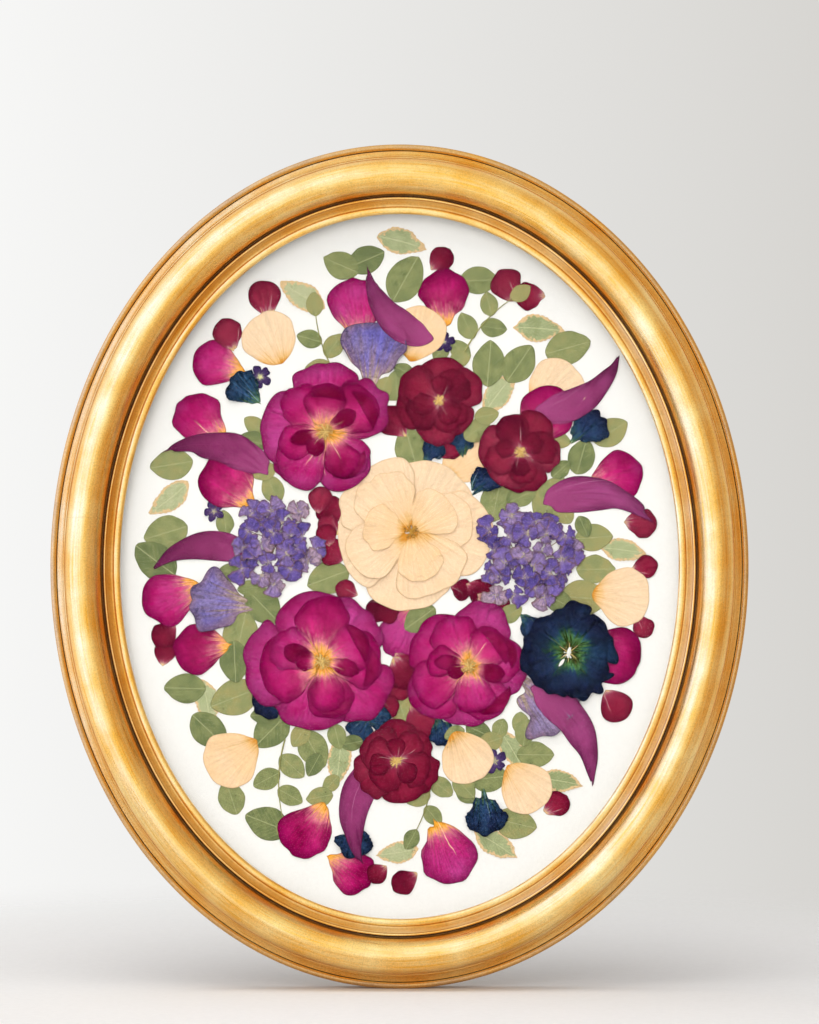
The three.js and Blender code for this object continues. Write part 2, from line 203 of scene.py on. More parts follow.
@dataclass(frozen=True)
class PetalFinish:
    """Dried petal tissue: matt, yellow at its base, deeper at its rim.

    The colour runs along the petal and is drawn out into streaks that fan
    from the base, as the veins do. A petal's tone takes it from a faded back
    petal, at 0, to the dark ones in the middle of a bloom, at 1.
    """

    name: str
    along: tuple[tuple[float, str], ...]
    faded: str
    dark: str
    rim: str
    rim_start: float = 0.5
    rim_weight: float = 0.95
    brink_and_shadow: float = 0.5
    streak: float = 0.2
    grain: float = 0.34
    crease_and_highlight: str = "#F3C9A6"
    crease_from: float = 0.62
    veins: float = 24.0
    bump_mm: float = 0.32
    roughness: float = 0.62

    def material(self) -> bpy.types.Material:
        """Builds the petal's material from its own UV map and attributes.

        Returns:
            The material.
        """
        g = Graph(self.name)
        uv = g.node("UVMap", uv_map="petal")
        parts = g.node("SeparateXYZ", {0: uv}).node
        across, up = parts.outputs[0], parts.outputs[1]
        seed = g.value("seed")
        tone = g.value("tone")
        rim = g.value("rim")
        place = g.node("TexCoord", out="Object")

        # Fan coordinate: how far across, over how far up from the base.
        aside = g.math("SUBTRACT", across, 0.5)
        height = g.math("ADD", up, 0.22)
        fan = g.math("DIVIDE", aside, height)
        fan_wide = g.math("MULTIPLY", fan, self.veins)
        up_slow = g.math("MULTIPLY", up, 1.6)
        seed_far = g.math("MULTIPLY", seed, 60.0)
        lines = g.node("CombineXYZ", {0: fan_wide, 1: up_slow, 2: seed_far})
        streaks = g.node("TexNoise", {"Vector": lines, "Scale": 1.0, "Detail": 3.0, "Roughness": 0.6})
        patches = g.noise(place, 14, 3.0)
        grain = g.noise(place, 1.7, 3.0)

        shift = g.span(streaks, 0.25, 0.75, -self.streak, self.streak)
        wander = g.span(patches, 0.3, 0.7, -0.08, 0.08)
        moved = g.math("ADD", up, shift)
        moved = g.math("ADD", moved, wander)
        colour = g.node("ValToRGB", {0: moved}, stops=list(self.along))
        above = g.span(moved, 0.16, 0.42, smooth=True)

        tone = g.math("MULTIPLY_ADD", wander, 2.4, tone)
        faded = g.span(tone, 0.0, 0.5, 0.85, 0.0)
        dark = g.span(tone, 0.5, 1.0, 0.0, 0.95)
        edge = g.span(rim, self.rim_start, 1.0, smooth=True)
        uneven = g.span(streaks, 0.3, 0.7, 0.2 * self.rim_weight, self.rim_weight)
        edge = g.math("MULTIPLY", edge, uneven)
        for weight, code in ((faded, self.faded), (dark, self.dark), (edge, self.rim)):
            weight = g.math("MULTIPLY", weight, above)
            colour = g.mix(weight, colour, linear(code))
        # The very edge dries first and crinkles into a thin, darker line, which is also a painted shadow line
        # along the edge.
        brink_and_shadow = g.math("MULTIPLY_ADD", grain, 0.06, rim)
        brink_and_shadow = g.span(brink_and_shadow, 0.975, 1.03, 1.0, 1 - self.brink_and_shadow)
        colour = g.mix(1.0, colour, brink_and_shadow, "MULTIPLY")

        # Some petals keep one pale hairline where they were folded, which is also a painted highlight along
        # the fold.
        line = g.span(seed, 0.0, 1.0, -1.3, 0.5)
        line = g.math("MULTIPLY_ADD", wander, 0.5, line)
        line = g.math("SUBTRACT", fan, line)
        line = g.math("ABSOLUTE", line)
        line = g.span(line, 0.004, 0.02, 1.0, 0.0)
        some = g.math("GREATER_THAN", seed, self.crease_from)
        short = g.span(up, 0.45, 0.62, 0.8, 0.0)
        line = g.math("MULTIPLY", line, some)
        line = g.math("MULTIPLY", line, short)
        colour = g.mix(line, colour, linear(self.crease_and_highlight))

        speck = g.math("MULTIPLY_ADD", grain, 0.6, streaks)
        speck = g.span(speck, 0.60, 1.0, 1 - self.grain, 1 + self.grain)
        colour = g.mix(1.0, colour, speck, "MULTIPLY")

        # Veins and grain stand on shallow wrinkles from drying under the press.
        wrinkles = g.node("TexNoise", {"Vector": place, "Scale": 1 / (7 * MM), "Detail": 2.0,
                                       "Distortion": 1.2})
        relief = g.math("MULTIPLY", streaks, 0.75)
        relief = g.math("MULTIPLY_ADD", grain, 0.25, relief)
        relief = g.math("MULTIPLY_ADD", wrinkles, 4.0, relief)
        normal = g.node("Bump", {"Height": relief, "Strength": 1.0, "Distance": self.bump_mm * MM})
        return g.finish(Base_Color=colour, Roughness=self.roughness, Normal=normal, Specular_IOR_Level=0.0)


@dataclass(frozen=True)
class LeafFinish:
    """A pressed leaf: satin, with a paler midrib and herringbone veins."""

    name: str
    body: tuple[tuple[float, str], ...]
    rib: str
    margin: str
    margin_start: float = 0.93
    margin_wander: float = 0.04
    spots: str = "#4C4A2C"
    side_veins: float = 9.0

    def material(self) -> bpy.types.Material:
        """Builds the leaf's material from its own UV map and attributes.

        Returns:
            The material.
        """
        g = Graph(self.name)
        uv = g.node("UVMap", uv_map="petal")
        parts = g.node("SeparateXYZ", {0: uv}).node
        across, up = parts.outputs[0], parts.outputs[1]
        seed = g.value("seed")
        rim = g.value("rim")
        place = g.node("TexCoord", out="Object")
        patches = g.noise(place, 7, 4.0)
        grain = g.noise(place, 0.8, 3.0)

        tone = g.span(patches, 0.3, 0.7, -0.3, 0.3)
        tone = g.math("ADD", seed, tone)
        colour = g.node("ValToRGB", {0: tone}, stops=list(self.body))

        aside = g.math("SUBTRACT", across, 0.5)
        aside = g.math("ABSOLUTE", aside)
        midrib = g.span(aside, 0.006, 0.022, 0.75, 0.0)
        # Side veins leave the midrib at an angle, so they climb as they go out.
        climb = g.math("MULTIPLY_ADD", aside, -0.8, up)
        climb = g.math("MULTIPLY", climb, self.side_veins)
        saw = g.math("FRACT", climb)
        saw = g.math("SUBTRACT", saw, 0.5)
        saw = g.math("ABSOLUTE", saw)
        side = g.span(saw, 0.0, 0.09, 0.35, 0.0)
        lines = g.math("MAXIMUM", midrib, side)
        colour = g.mix(lines, colour, linear(self.rib))

        wander = g.noise(place, 2.2, 2.0)
        wander = g.span(wander, 0.3, 0.7, -self.margin_wander, self.margin_wander)
        wander = g.math("ADD", rim, wander)
        edge = g.span(wander, self.margin_start, self.margin_start + 0.06)
        colour = g.mix(edge, colour, linear(self.margin))
        dots = g.node("TexVoronoi", {"Vector": place, "Scale": 1 / (3.4 * MM), "Randomness": 1.0})
        dots = g.math("MULTIPLY_ADD", patches, 0.8, dots)
        dots = g.span(dots, 0.40, 0.50, 0.7, 0.0)
        colour = g.mix(dots, colour, linear(self.spots))
        speck = g.span(grain, 0.3, 0.7, 0.82, 1.14)
        colour = g.mix(1.0, colour, speck, "MULTIPLY")

        relief = g.math("MULTIPLY_ADD", lines, -0.6, grain)
        normal = g.node("Bump", {"Height": relief, "Strength": 1.0, "Distance": 0.12 * MM})
        return g.finish(Base_Color=colour, Roughness=0.6, Normal=normal, Specular_IOR_Level=0.15)


@dataclass(frozen=True)
class GiltFinish:
    """Gold leaf over wood, burnished: satin metal, dark brown in the grooves as toning and painted shade, and
    a painted shade on the slope inside the fine bead.

    The ring attribute holds a place on a plain circle, and the way across the
    moulding, in metres, so that patterns run round the oval without a seam.
    """

    name: str = "gold_leaf_burnished_and_toned"
    bright: str = "#FFDE96"
    warm: str = "#F4B650"
    umber_and_shade: str = "#46260F"
    bole: str = "#BC8858"
    slope_painted_shade: str = "#D4B698"

    def material(self) -> bpy.types.Material:
        """Builds the gilding.

        Returns:
            The material.
        """
        g = Graph(self.name)
        ring = g.node("Attribute", out="Vector", attribute_name="ring")
        hollow = g.value("hollow")
        toned = g.value("toned")
        rubbed = g.value("rubbed")
        place = g.node("TexCoord", out="Object")
        # Rubbing follows the ring, so its streaks are long and thin.
        drawn = g.node("Mapping", {"Vector": ring, "Scale": (1 / (55 * MM), 1 / (55 * MM), 1 / (1.6 * MM))})
        streaks = g.node("TexNoise", {"Vector": drawn, "Scale": 1.0, "Detail": 4.0, "Roughness": 0.6})
        cloud = g.noise(place, 30, 3.0)
        dust = g.noise(place, 1.0, 4.0, 0.7)

        tone = g.math("ADD", streaks, cloud)
        tone = g.span(tone, 0.75, 1.25)
        colour = g.mix(tone, linear(self.warm), linear(self.bright))
        # Where the leaf is rubbed thin, the red clay under it shows.
        thin = g.span(cloud, 0.3, 0.7, 0.5, 1.0)
        thin = g.math("MULTIPLY", thin, rubbed)
        colour = g.mix(thin, colour, linear(self.bole))
        # A brown colour is multiplied on the slope inside the fine bead: painted shade for the slope's darker
        # reflection.
        colour = g.mix(toned, colour, linear(self.slope_painted_shade), "MULTIPLY")
        fleck = g.span(dust, 0.36, 0.62, 0.80, 1.06)
        colour = g.mix(1.0, colour, fleck, "MULTIPLY")
        # Leaves of gold are laid edge to edge, with a dark hairline at some laps.
        laps = g.node("Mapping", {"Vector": ring, "Scale": (1 / (82 * MM), 1 / (82 * MM), 0.4 / (82 * MM))})
        bent = g.node("Mix", {0: 0.06, 4: laps, 5: place}, out=1, data_type="VECTOR")
        cells = g.node("TexVoronoi", {"Vector": bent, "Scale": 1.0, "Randomness": 0.9},
                       feature="DISTANCE_TO_EDGE")
        hair = g.span(cells, 0.0, 0.005, 1.0, 0.0)
        broken = g.span(cloud, 0.5, 0.6, 0.0, 0.15)
        hair = g.math("MULTIPLY", hair, broken)
        worn = g.span(dust, 0.66, 0.76, 0.0, 0.6)
        dark = g.span(dust, 0.35, 0.65, -0.14, 0.14)
        # Hollow paints the grooves dark, partly toning and partly painted shade, and adds a little painted
        # shade below each crest; worn spots and lap hairlines are wear.
        dark = g.math("ADD", hollow, dark)
        dark = g.span(dark, 0.28, 0.85)
        dark = g.math("MAXIMUM", dark, worn)
        dark = g.math("MAXIMUM", dark, hair)
        colour = g.mix(dark, colour, linear(self.umber_and_shade))

        metal = g.span(dark, 0.0, 1.0, 1.0, 0.25)
        rough = g.span(streaks, 0.3, 0.7, 0.24, 0.40)
        rough = g.math("MULTIPLY_ADD", dark, 0.3, rough)
        rough = g.math("MULTIPLY_ADD", thin, 0.25, rough)
        relief = g.math("MULTIPLY_ADD", streaks, 0.5, dust)
        normal = g.node("Bump", {"Height": relief, "Strength": 1.0, "Distance": 0.07 * MM})
        return g.finish(Base_Color=colour, Metallic=metal, Roughness=rough, Normal=normal)


@dataclass(frozen=True)
class FibreFinish:
    """Felted or sawn fibres: paper, board and bare wood, told apart by scale and tone."""

    name: str
    light: str
    dark: str
    fibre_mm: tuple[float, float, float]
    contrast: tuple[float, float] = (0.3, 0.7)
    bump_mm: float = 0.08
    roughness: float = 0.9

    def material(self) -> bpy.types.Material:
        """Builds a material of fibres of the given length along X, Y and Z.

        Returns:
            The material.
        """
        g = Graph(self.name)
        place = g.node("TexCoord", out="Object")
        scale = tuple(1 / (length * MM) for length in self.fibre_mm)
        drawn = g.node("Mapping", {"Vector": place, "Scale": scale})
        fibres = g.node("TexNoise", {"Vector": drawn, "Scale": 1.0, "Detail": 5.0, "Roughness": 0.6})
        cloud = g.noise(place, 60, 2.0)
        tone = g.math("MULTIPLY_ADD", cloud, 0.4, fibres)
        tone = g.span(tone, self.contrast[0] + 0.2, self.contrast[1] + 0.2)
        colour = g.mix(tone, linear(self.dark), linear(self.light))
        normal = g.node("Bump", {"Height": fibres, "Strength": 1.0, "Distance": self.bump_mm * MM})
        return g.finish(Base_Color=colour, Roughness=self.roughness, Normal=normal,
                        Specular_IOR_Level=0.05)


@dataclass(frozen=True)
class SteelFinish:
    """Zinc-plated sheet steel, as pressed: satin, with a faint blotchy bloom."""

    name: str = "zinc_plated_steel_pressed"

    def material(self) -> bpy.types.Material:
        """Builds the plated steel.

        Returns:
            The material.
        """
        g = Graph(self.name)
        place = g.node("TexCoord", out="Object")
        bloom = g.noise(place, 3, 4.0)
        colour = g.mix(bloom, linear("#8F9398"), linear("#C9CBCC"))
        rough = g.span(bloom, 0.3, 0.7, 0.3, 0.5)
        normal = g.node("Bump", {"Height": bloom, "Strength": 1.0, "Distance": 0.03 * MM})
        return g.finish(Base_Color=colour, Metallic=1.0, Roughness=rough, Normal=normal)


@dataclass(frozen=True)
class GlassFinish:
    """Picture glass with a coating that takes the glare away, as a low IOR does."""

    name: str = "picture_glass_coated_against_glare"

    def material(self) -> bpy.types.Material:
        """Builds the clear pane.

        Returns:
            The material.
        """
        g = Graph(self.name)
        return g.finish(Base_Color=linear("#FBFDFC"), Roughness=0.0, IOR=1.10, Transmission_Weight=1.0)


@dataclass(frozen=True)
class StamenFinish:
    """Dried pollen and filaments: grainy ochre with brown tips."""

    name: str
    light: str
    dark: str

    def material(self) -> bpy.types.Material:
        """Builds the stamens' mottled ochre.

        Returns:
            The material.
        """
        g = Graph(self.name)
        place = g.node("TexCoord", out="Object")
        seed = g.value("seed")
        grain = g.noise(place, 0.7, 3.0)
        tone = g.math("MULTIPLY_ADD", seed, 0.7, grain)
        tone = g.span(tone, 0.4, 1.1)
        colour = g.mix(tone, linear(self.dark), linear(self.light))
        normal = g.node("Bump", {"Height": grain, "Strength": 1.0, "Distance": 0.1 * MM})
        return g.finish(Base_Color=colour, Roughness=0.8, Normal=normal, Specular_IOR_Level=0.2)


MAGENTA = PetalFinish(
    "rose_petal_magenta_dried",
    ((0.06, "#E89C34"), (0.15, "#EBA860"), (0.26, "#D67488"), (0.42, "#BE306E"), (0.65, "#AC1862"),
     (1.0, "#920850")),
    faded="#AA3C80", dark="#660026", rim="#600034", streak=0.15)
BURGUNDY = PetalFinish(
    "rose_petal_burgundy_dried",
    ((0.03, "#E2C07A"), (0.08, "#B88494"), (0.16, "#8E2E48"), (0.45, "#841C36"), (1.0, "#76122E")),
    faded="#8C2C44", dark="#520620", rim="#4A061E", rim_start=0.5, crease_and_highlight="#C9A2A8", crease_from=0.7)
CREAM = PetalFinish(
    "rose_petal_cream_dried",
    ((0.03, "#CE8830"), (0.10, "#DEAC6A"), (0.26, "#E8C094"), (0.7, "#EBC8A4"), (1.0, "#E8C49E")),
    faded="#E7C8A6", dark="#E8BE8E", rim="#CEA070", rim_start=0.95, rim_weight=0.5, brink_and_shadow=0.12,
    streak=0.09, grain=0.09, crease_and_highlight="#DDB27C", crease_from=0.75, bump_mm=0.2)
DELPHINIUM = PetalFinish(
    "delphinium_petal_violet_dried",
    ((0.05, "#B8A08A"), (0.26, "#93799A"), (0.6, "#7064A0"), (1.0, "#5F579A")),
    faded="#94809C", dark="#4C4688", rim="#74565E", rim_start=0.5, streak=0.5, grain=0.5, veins=16.0,
    crease_and_highlight="#C8A890", crease_from=0.3, bump_mm=0.9)
HYDRANGEA = PetalFinish(
    "hydrangea_petal_violet_dried",
    ((0.02, "#B8A890"), (0.16, "#86709E"), (0.45, "#735E9E"), (1.0, "#665296")),
    faded="#A68C96", dark="#524386", rim="#6E4E3C", rim_start=0.6, rim_weight=1.0, streak=0.35,
    grain=0.4, crease_and_highlight="#A87850", crease_from=0.4, veins=8.0, bump_mm=0.4)
DARK_FLORET = replace(
    HYDRANGEA, name="floret_dark_purple_dried",
    along=((0.06, "#D2CF90"), (0.16, "#8A7A86"), (0.3, "#4E3A66"), (1.0, "#3E2C56")),
    faded="#54406C", dark="#34264C", rim="#2E2044")
CALLA = PetalFinish(
    "calla_spathe_mauve_dried",
    ((0.0, "#9C4476"), (0.25, "#8E3868"), (0.6, "#84305F"), (1.0, "#641E48")),
    faded="#9A4478", dark="#722450", rim="#4C1636", rim_start=0.5, rim_weight=0.9, streak=0.3, grain=0.16,
    crease_and_highlight="#B06A90", crease_from=0.3, veins=10.0, bump_mm=0.2, roughness=0.5)
NAVY = PetalFinish(
    "lisianthus_petal_navy_dried",
    ((0.0, "#6A8A50"), (0.12, "#365858"), (0.35, "#263E5E"), (0.65, "#222E52"), (1.0, "#161A32")),
    faded="#2E4E6C", dark="#161C36", rim="#0A0E1E", rim_start=0.5, streak=0.5, grain=0.9,
    crease_and_highlight="#8AA2B0", crease_from=0.3, veins=18.0, bump_mm=1.2, roughness=0.5)
THROAT = PetalFinish(
    "lisianthus_petal_navy_and_green",
    ((0.0, "#D8D070"), (0.09, "#1A1408"), (0.18, "#22300F"), (0.27, "#64924A"), (0.36, "#2E5848"),
     (0.50, "#20304E"), (1.0, "#141834")),
    faded="#1E4260", dark="#10162E", rim="#080C1A", rim_start=0.6, streak=0.22, grain=0.9,
    crease_and_highlight="#86A890", crease_from=0.2, veins=20.0, bump_mm=1.2, roughness=0.5)
ROUND_LEAF = LeafFinish(
    "eucalyptus_leaf_pressed",
    ((0.0, "#626C42"), (0.35, "#7A8050"), (0.7, "#8A8C5A"), (1.0, "#988F5A")),
    rib="#A4A578", margin="#625F3C", margin_start=0.97, spots="#4A4228")
VARIEGATED_LEAF = LeafFinish(
    "variegated_leaf_pressed",
    ((0.0, "#8A9264"), (0.5, "#A0A67A"), (1.0, "#B2B28A")),
    rib="#C8C49A", margin="#D4B284", margin_start=0.80, margin_wander=0.14, spots="#86704A")
STEM = FibreFinish(
    "dried_stem", "#A8A468", "#7C7A48", (3.0, 3.0, 3.0), roughness=0.7)
STALK = FibreFinish("hydrangea_stalk_dried", "#A08C70", "#5E4A44", (2.0, 2.0, 2.0), roughness=0.75)
PAPER = FibreFinish(
    "cotton_paper_white", "#ECE8E4", "#E6E2DE", (1.8, 1.8, 1.8), bump_mm=0.03)
CORE_BOARD = FibreFinish("foam_core_white", "#F6F5F1", "#E9E7E0", (0.8, 0.8, 0.8))
HARDBOARD = FibreFinish("hardboard_oiled", "#B08458", "#84603C", (2.4, 2.4, 2.4), bump_mm=0.1)
BARE_WOOD = FibreFinish("limewood_sawn", "#D8B88A", "#B08A58", (2.0, 2.0, 40.0), bump_mm=0.15,
                        roughness=0.8)
POLLEN = StamenFinish("rose_stamens_dried", "#F0CE80", "#9A6C30")
POLLEN_BROWN = StamenFinish("cream_rose_stamens_dried", "#DCA848", "#7C5020")
POLLEN_PALE = StamenFinish("burgundy_rose_stamens_dried", "#F2D488", "#B88A44")


# ---- Sheets: petals and leaves as functions on a round grid ---------------------


@dataclass(frozen=True)
class Blade:
    """The outline of a petal or leaf that grows along +Z from its base.

    Half its width is sin(pi u^p)^q along its length u, so p moves the widest
    place towards the tip and q rounds it. A bend, in degrees, curls it along
    an arc. Ruffles move the edge in and out, and teeth notch it evenly.
    """

    width: float
    p: float
    q: float
    bend: float = 0.0
    ruffle: float = 0.03
    teeth: float = 0.0
    heart: float = 0.0
    curl: float = 0.35
    ripple: float = 0.12
    rings: int = 9
    turns: int = 44


@dataclass
class Sheet:
    """One thin petal or leaf: rings of points from its middle to its edge.

    The arrays are rings by turns; the first ring is the middle, all one point.
    """

    plan: np.ndarray
    relief: np.ndarray
    uv: np.ndarray
    rim: np.ndarray
    seed: float
    tone: float = 0.5

    def moved(self, x: float, z: float, clockwise: float) -> "Sheet":
        """Turns the sheet clockwise, in degrees, then moves it.

        Args:
            x: how far to the right, in millimetres.
            z: how far up.
            clockwise: the turn, in degrees, made first.

        Returns:
            The sheet in its new place.
        """
        c, s = math.cos(math.radians(clockwise)), math.sin(math.radians(clockwise))
        px, pz = self.plan[..., 0], self.plan[..., 1]
        plan = np.stack([px * c + pz * s + x, pz * c - px * s + z], axis=-1)
        return replace(self, plan=plan)


def wander(turn: np.ndarray, rng: np.random.Generator, waves: range) -> np.ndarray:
    """A closed uneven line round a turn: a sum of sines whose size falls with their number.

    Args:
        turn: angles, in radians.
        rng: the source of the phases and sizes.
        waves: how many times each sine goes round.

    Returns:
        One value for each angle, mostly within -1 to 1.
    """
    phase = rng.uniform(0, 2 * math.pi, len(waves))
    size = rng.normal(0, 1, len(waves)) / np.sqrt(np.array(waves, float))
    return (size * np.sin(np.outer(turn, np.array(waves)) + phase)).sum(axis=1)


def ring_steps(rings: int) -> np.ndarray:
    """Radii from the middle to the edge, closer near the edge, with a last thin ring."""
    inner = np.linspace(0, 1, rings - 1) ** 0.85
    return np.concatenate([inner[:-1], [0.975, 1.0]])


def blade_sheet(shape: Blade, length: float, rng: np.random.Generator, foot: float | None = None) -> Sheet:
    """Works out a petal or leaf as a sheet.

    The outline is x = side times half-width, z = length times u, with u going
    from base to tip and back. Points inside lie on straight lines from the
    outline to the widest place. The relief lifts the rim by the fourth power
    of the radius and adds ripples that fade towards the middle and the base.

    Args:
        shape: the outline's proportions.
        length: from base to tip, in millimetres.
        rng: the source of the unevenness.
        foot: where the base lies along Z, half the length below 0 by default.

    Returns:
        The sheet, not yet placed.
    """
    turn = np.linspace(0, 2 * math.pi, shape.turns, endpoint=False)
    along = (1 - np.cos(turn)) / 2
    side = np.where(turn < math.pi, 1.0, -1.0)
    half = 0.5 * shape.width * length * np.abs(np.sin(math.pi * along ** shape.p)) ** shape.q
    uneven = 1 + shape.ruffle * wander(turn, rng, range(2, 12))
    uneven += shape.teeth * (np.abs(((along * 11) % 1) - 0.5) - 0.25) * np.sin(turn) ** 2
    uneven -= shape.heart * np.exp(-((turn - math.pi) / 0.22) ** 2)
    widest = 0.5 ** (1 / shape.p) * length
    edge = np.stack([side * half * uneven, widest + (along * length - widest) * uneven], axis=-1)

    radius = ring_steps(shape.rings)[:, None]
    middle = np.array([0.0, widest])
    flat = middle + radius[..., None] * (edge - middle)
    across, up = flat[..., 0], flat[..., 1]
    uv = np.stack([across / (shape.width * length) + 0.5, up / length], axis=-1)

    if shape.bend:
        arc = math.radians(shape.bend)
        bend_radius = length / arc
        swing = arc * (up / length - 0.5)
        plan = np.stack([bend_radius * (1 - np.cos(swing)) + across * np.cos(swing),
                         bend_radius * np.sin(swing) - across * np.sin(swing)], axis=-1)
    else:
        base = -length / 2 if foot is None else foot
        plan = np.stack([across, up + base], axis=-1)

    lift = 0.6 + 0.4 * np.sin(2 * turn + rng.uniform(0, 6.3))
    relief = shape.curl * radius ** 4 * lift
    relief = relief + shape.ripple * radius ** 2 * wander(turn, rng, range(3, 11))
    free = np.clip((up / length - 0.1) / 0.4, 0, 1)
    relief = (relief - relief.min()) * free ** 2
    return Sheet(plan, relief, uv, np.broadcast_to(radius, relief.shape), rng.uniform())


def floret_sheet(size: float, lobes: int, waist: float, rng: np.random.Generator) -> Sheet:
    """Works out a floret whose petals are joined: its radius is a cosine of the turn.

    Args:
        size: from the middle to a petal's tip, in millimetres.
        lobes: how many petals it has.
        waist: how deep the notches between the petals go, from 0 to 1.
        rng: the source of the unevenness.

    Returns:
        The sheet, centred, with V from the middle to the tips.
    """
    turn = np.linspace(0, 2 * math.pi, 40, endpoint=False)
    lobe = np.abs(np.cos(turn * lobes / 2)) ** 0.7
    edge = size * (1 - waist + waist * lobe) * (1 + 0.05 * wander(turn, rng, range(2, 12)))
    radius = ring_steps(6)[:, None]
    reach = radius * edge
    plan = np.stack([reach * np.cos(turn), reach * np.sin(turn)], axis=-1)
    swing = ((turn * lobes / (2 * math.pi) + 0.5) % 1) - 0.5
    uv = np.stack([0.5 + swing * reach / size, np.broadcast_to(reach / size, reach.shape)], axis=-1)
    relief = 0.22 * radius * (1 + wander(turn, rng, range(2, 9)))
    relief -= relief.min()
    return Sheet(plan, relief, uv, np.broadcast_to(radius, relief.shape), rng.uniform())


def stretch_rows(rows_in: int, rows_out: int, closed: bool) -> np.ndarray:
    """The matrix that resamples evenly spaced rows by straight lines between them.

    Args:
        rows_in: how many rows there are.
        rows_out: how many are wanted.
        closed: whether the last row joins the first.

    Returns:
        The matrix, rows_out by rows_in.
    """
    span = rows_in if closed else rows_in - 1
    position = np.linspace(0, span, rows_out, endpoint=not closed)
    low = np.floor(position).astype(int)
    share = position - low
    matrix = np.zeros((rows_out, rows_in))
    rows = np.arange(rows_out)
    np.add.at(matrix, (rows, low % rows_in if closed else np.minimum(low, rows_in - 1)), 1 - share)
    np.add.at(matrix, (rows, (low + 1) % rows_in if closed else np.minimum(low + 1, rows_in - 1)), share)
    return matrix


# ---- The bed that the specimens are laid on ---------------------------------------


@dataclass
class Bed:
    """The heights of all that lies on the mount board, as a map of small cells."""

    half_x: float = 206.0
    half_z: float = 257.0
    cell: float = 0.5
    ceiling: float = 5.9
    air: float = 0.03
    easy_room: float = 4.2
    height: np.ndarray = field(init=False)

    def __post_init__(self) -> None:
        """Starts with the bare board."""
        cells = (int(2 * self.half_x / self.cell), int(2 * self.half_z / self.cell))
        self.height = np.zeros(cells)

    def index(self, plan: np.ndarray) -> tuple[np.ndarray, np.ndarray]:
        """The cell of each point of a plan.

        Args:
            plan: points, with X and Z as the last axis.

        Returns:
            The cells along X and along Z.
        """
        i = ((plan[..., 0] + self.half_x) / self.cell).astype(int)
        j = ((plan[..., 1] + self.half_z) / self.cell).astype(int)
        return (np.clip(i, 0, self.height.shape[0] - 1), np.clip(j, 0, self.height.shape[1] - 1))

    def lay(self, sheet: Sheet, thickness: float) -> tuple[np.ndarray, np.ndarray]:
        """Drapes a sheet over what lies under it and adds it to the map.

        Under the sheet the map is widened by one cell and then relaxed: each
        step takes the mean of the neighbours, but never less than the map,
        so the sheet spans small steps and rests on the high places. The less
        room there is up to the glass, the flatter the sheet is pressed.

        Args:
            sheet: the placed sheet.
            thickness: of the petal, in millimetres.

        Returns:
            The heights of its underside and of its top at the sheet's points.
        """
        rings, turns = sheet.relief.shape
        span = float(np.ptp(sheet.plan.reshape(-1, 2), axis=0).max())
        more_rings = max(rings, int(span / self.cell) + 2)
        more_turns = max(turns, int(3.4 * span / self.cell) + 2)
        down = stretch_rows(rings, more_rings, closed=False)
        round_ = stretch_rows(turns, more_turns, closed=True)
        fine_plan = np.einsum("ar,rtc,bt->abc", down, sheet.plan, round_, optimize=True)
        ci, cj = self.index(fine_plan)
        i0, i1 = max(ci.min() - 2, 0), ci.max() + 3
        j0, j1 = max(cj.min() - 2, 0), cj.max() + 3
        window = self.height[i0:i1, j0:j1]
        mask = np.zeros(window.shape, bool)
        mask[ci - i0, cj - j0] = True

        floor = np.where(mask, window, -1.0)
        support = neighbours(floor).max(axis=0)
        support = np.where(mask, support, 0.0)
        weight = neighbours(mask.astype(float)).sum(axis=0)
        draped = support
        for _ in range(10):
            mean = neighbours(draped * mask).sum(axis=0) / np.maximum(weight, 1)
            draped = np.where(mask, np.maximum(support, mean), 0.0)

        vi, vj = self.index(sheet.plan)
        rest = draped[vi - i0, vj - j0] + self.air
        room = self.ceiling - thickness - rest
        loose = float(np.clip(room.min() / self.easy_room, 0, 1))
        under = rest + np.minimum(sheet.relief * loose, np.maximum(room, 0))
        under[0] = under[0].mean()
        top = under + thickness
        fine_top = np.einsum("ar,rt,bt->ab", down, top, round_, optimize=True)
        np.maximum.at(self.height, (ci, cj), fine_top)
        return under, top


def neighbours(grid: np.ndarray) -> np.ndarray:
    """A stack of the grid and its eight shifts by one cell.

    Args:
        grid: the map.

    Returns:
        Nine maps of the same size.
    """
    padded = np.pad(grid, 1, mode="edge")
    rows, cols = grid.shape
    return np.stack([padded[a:a + rows, b:b + cols] for a in range(3) for b in range(3)])


# ---- Writing meshes ------------------------------------------------------------------


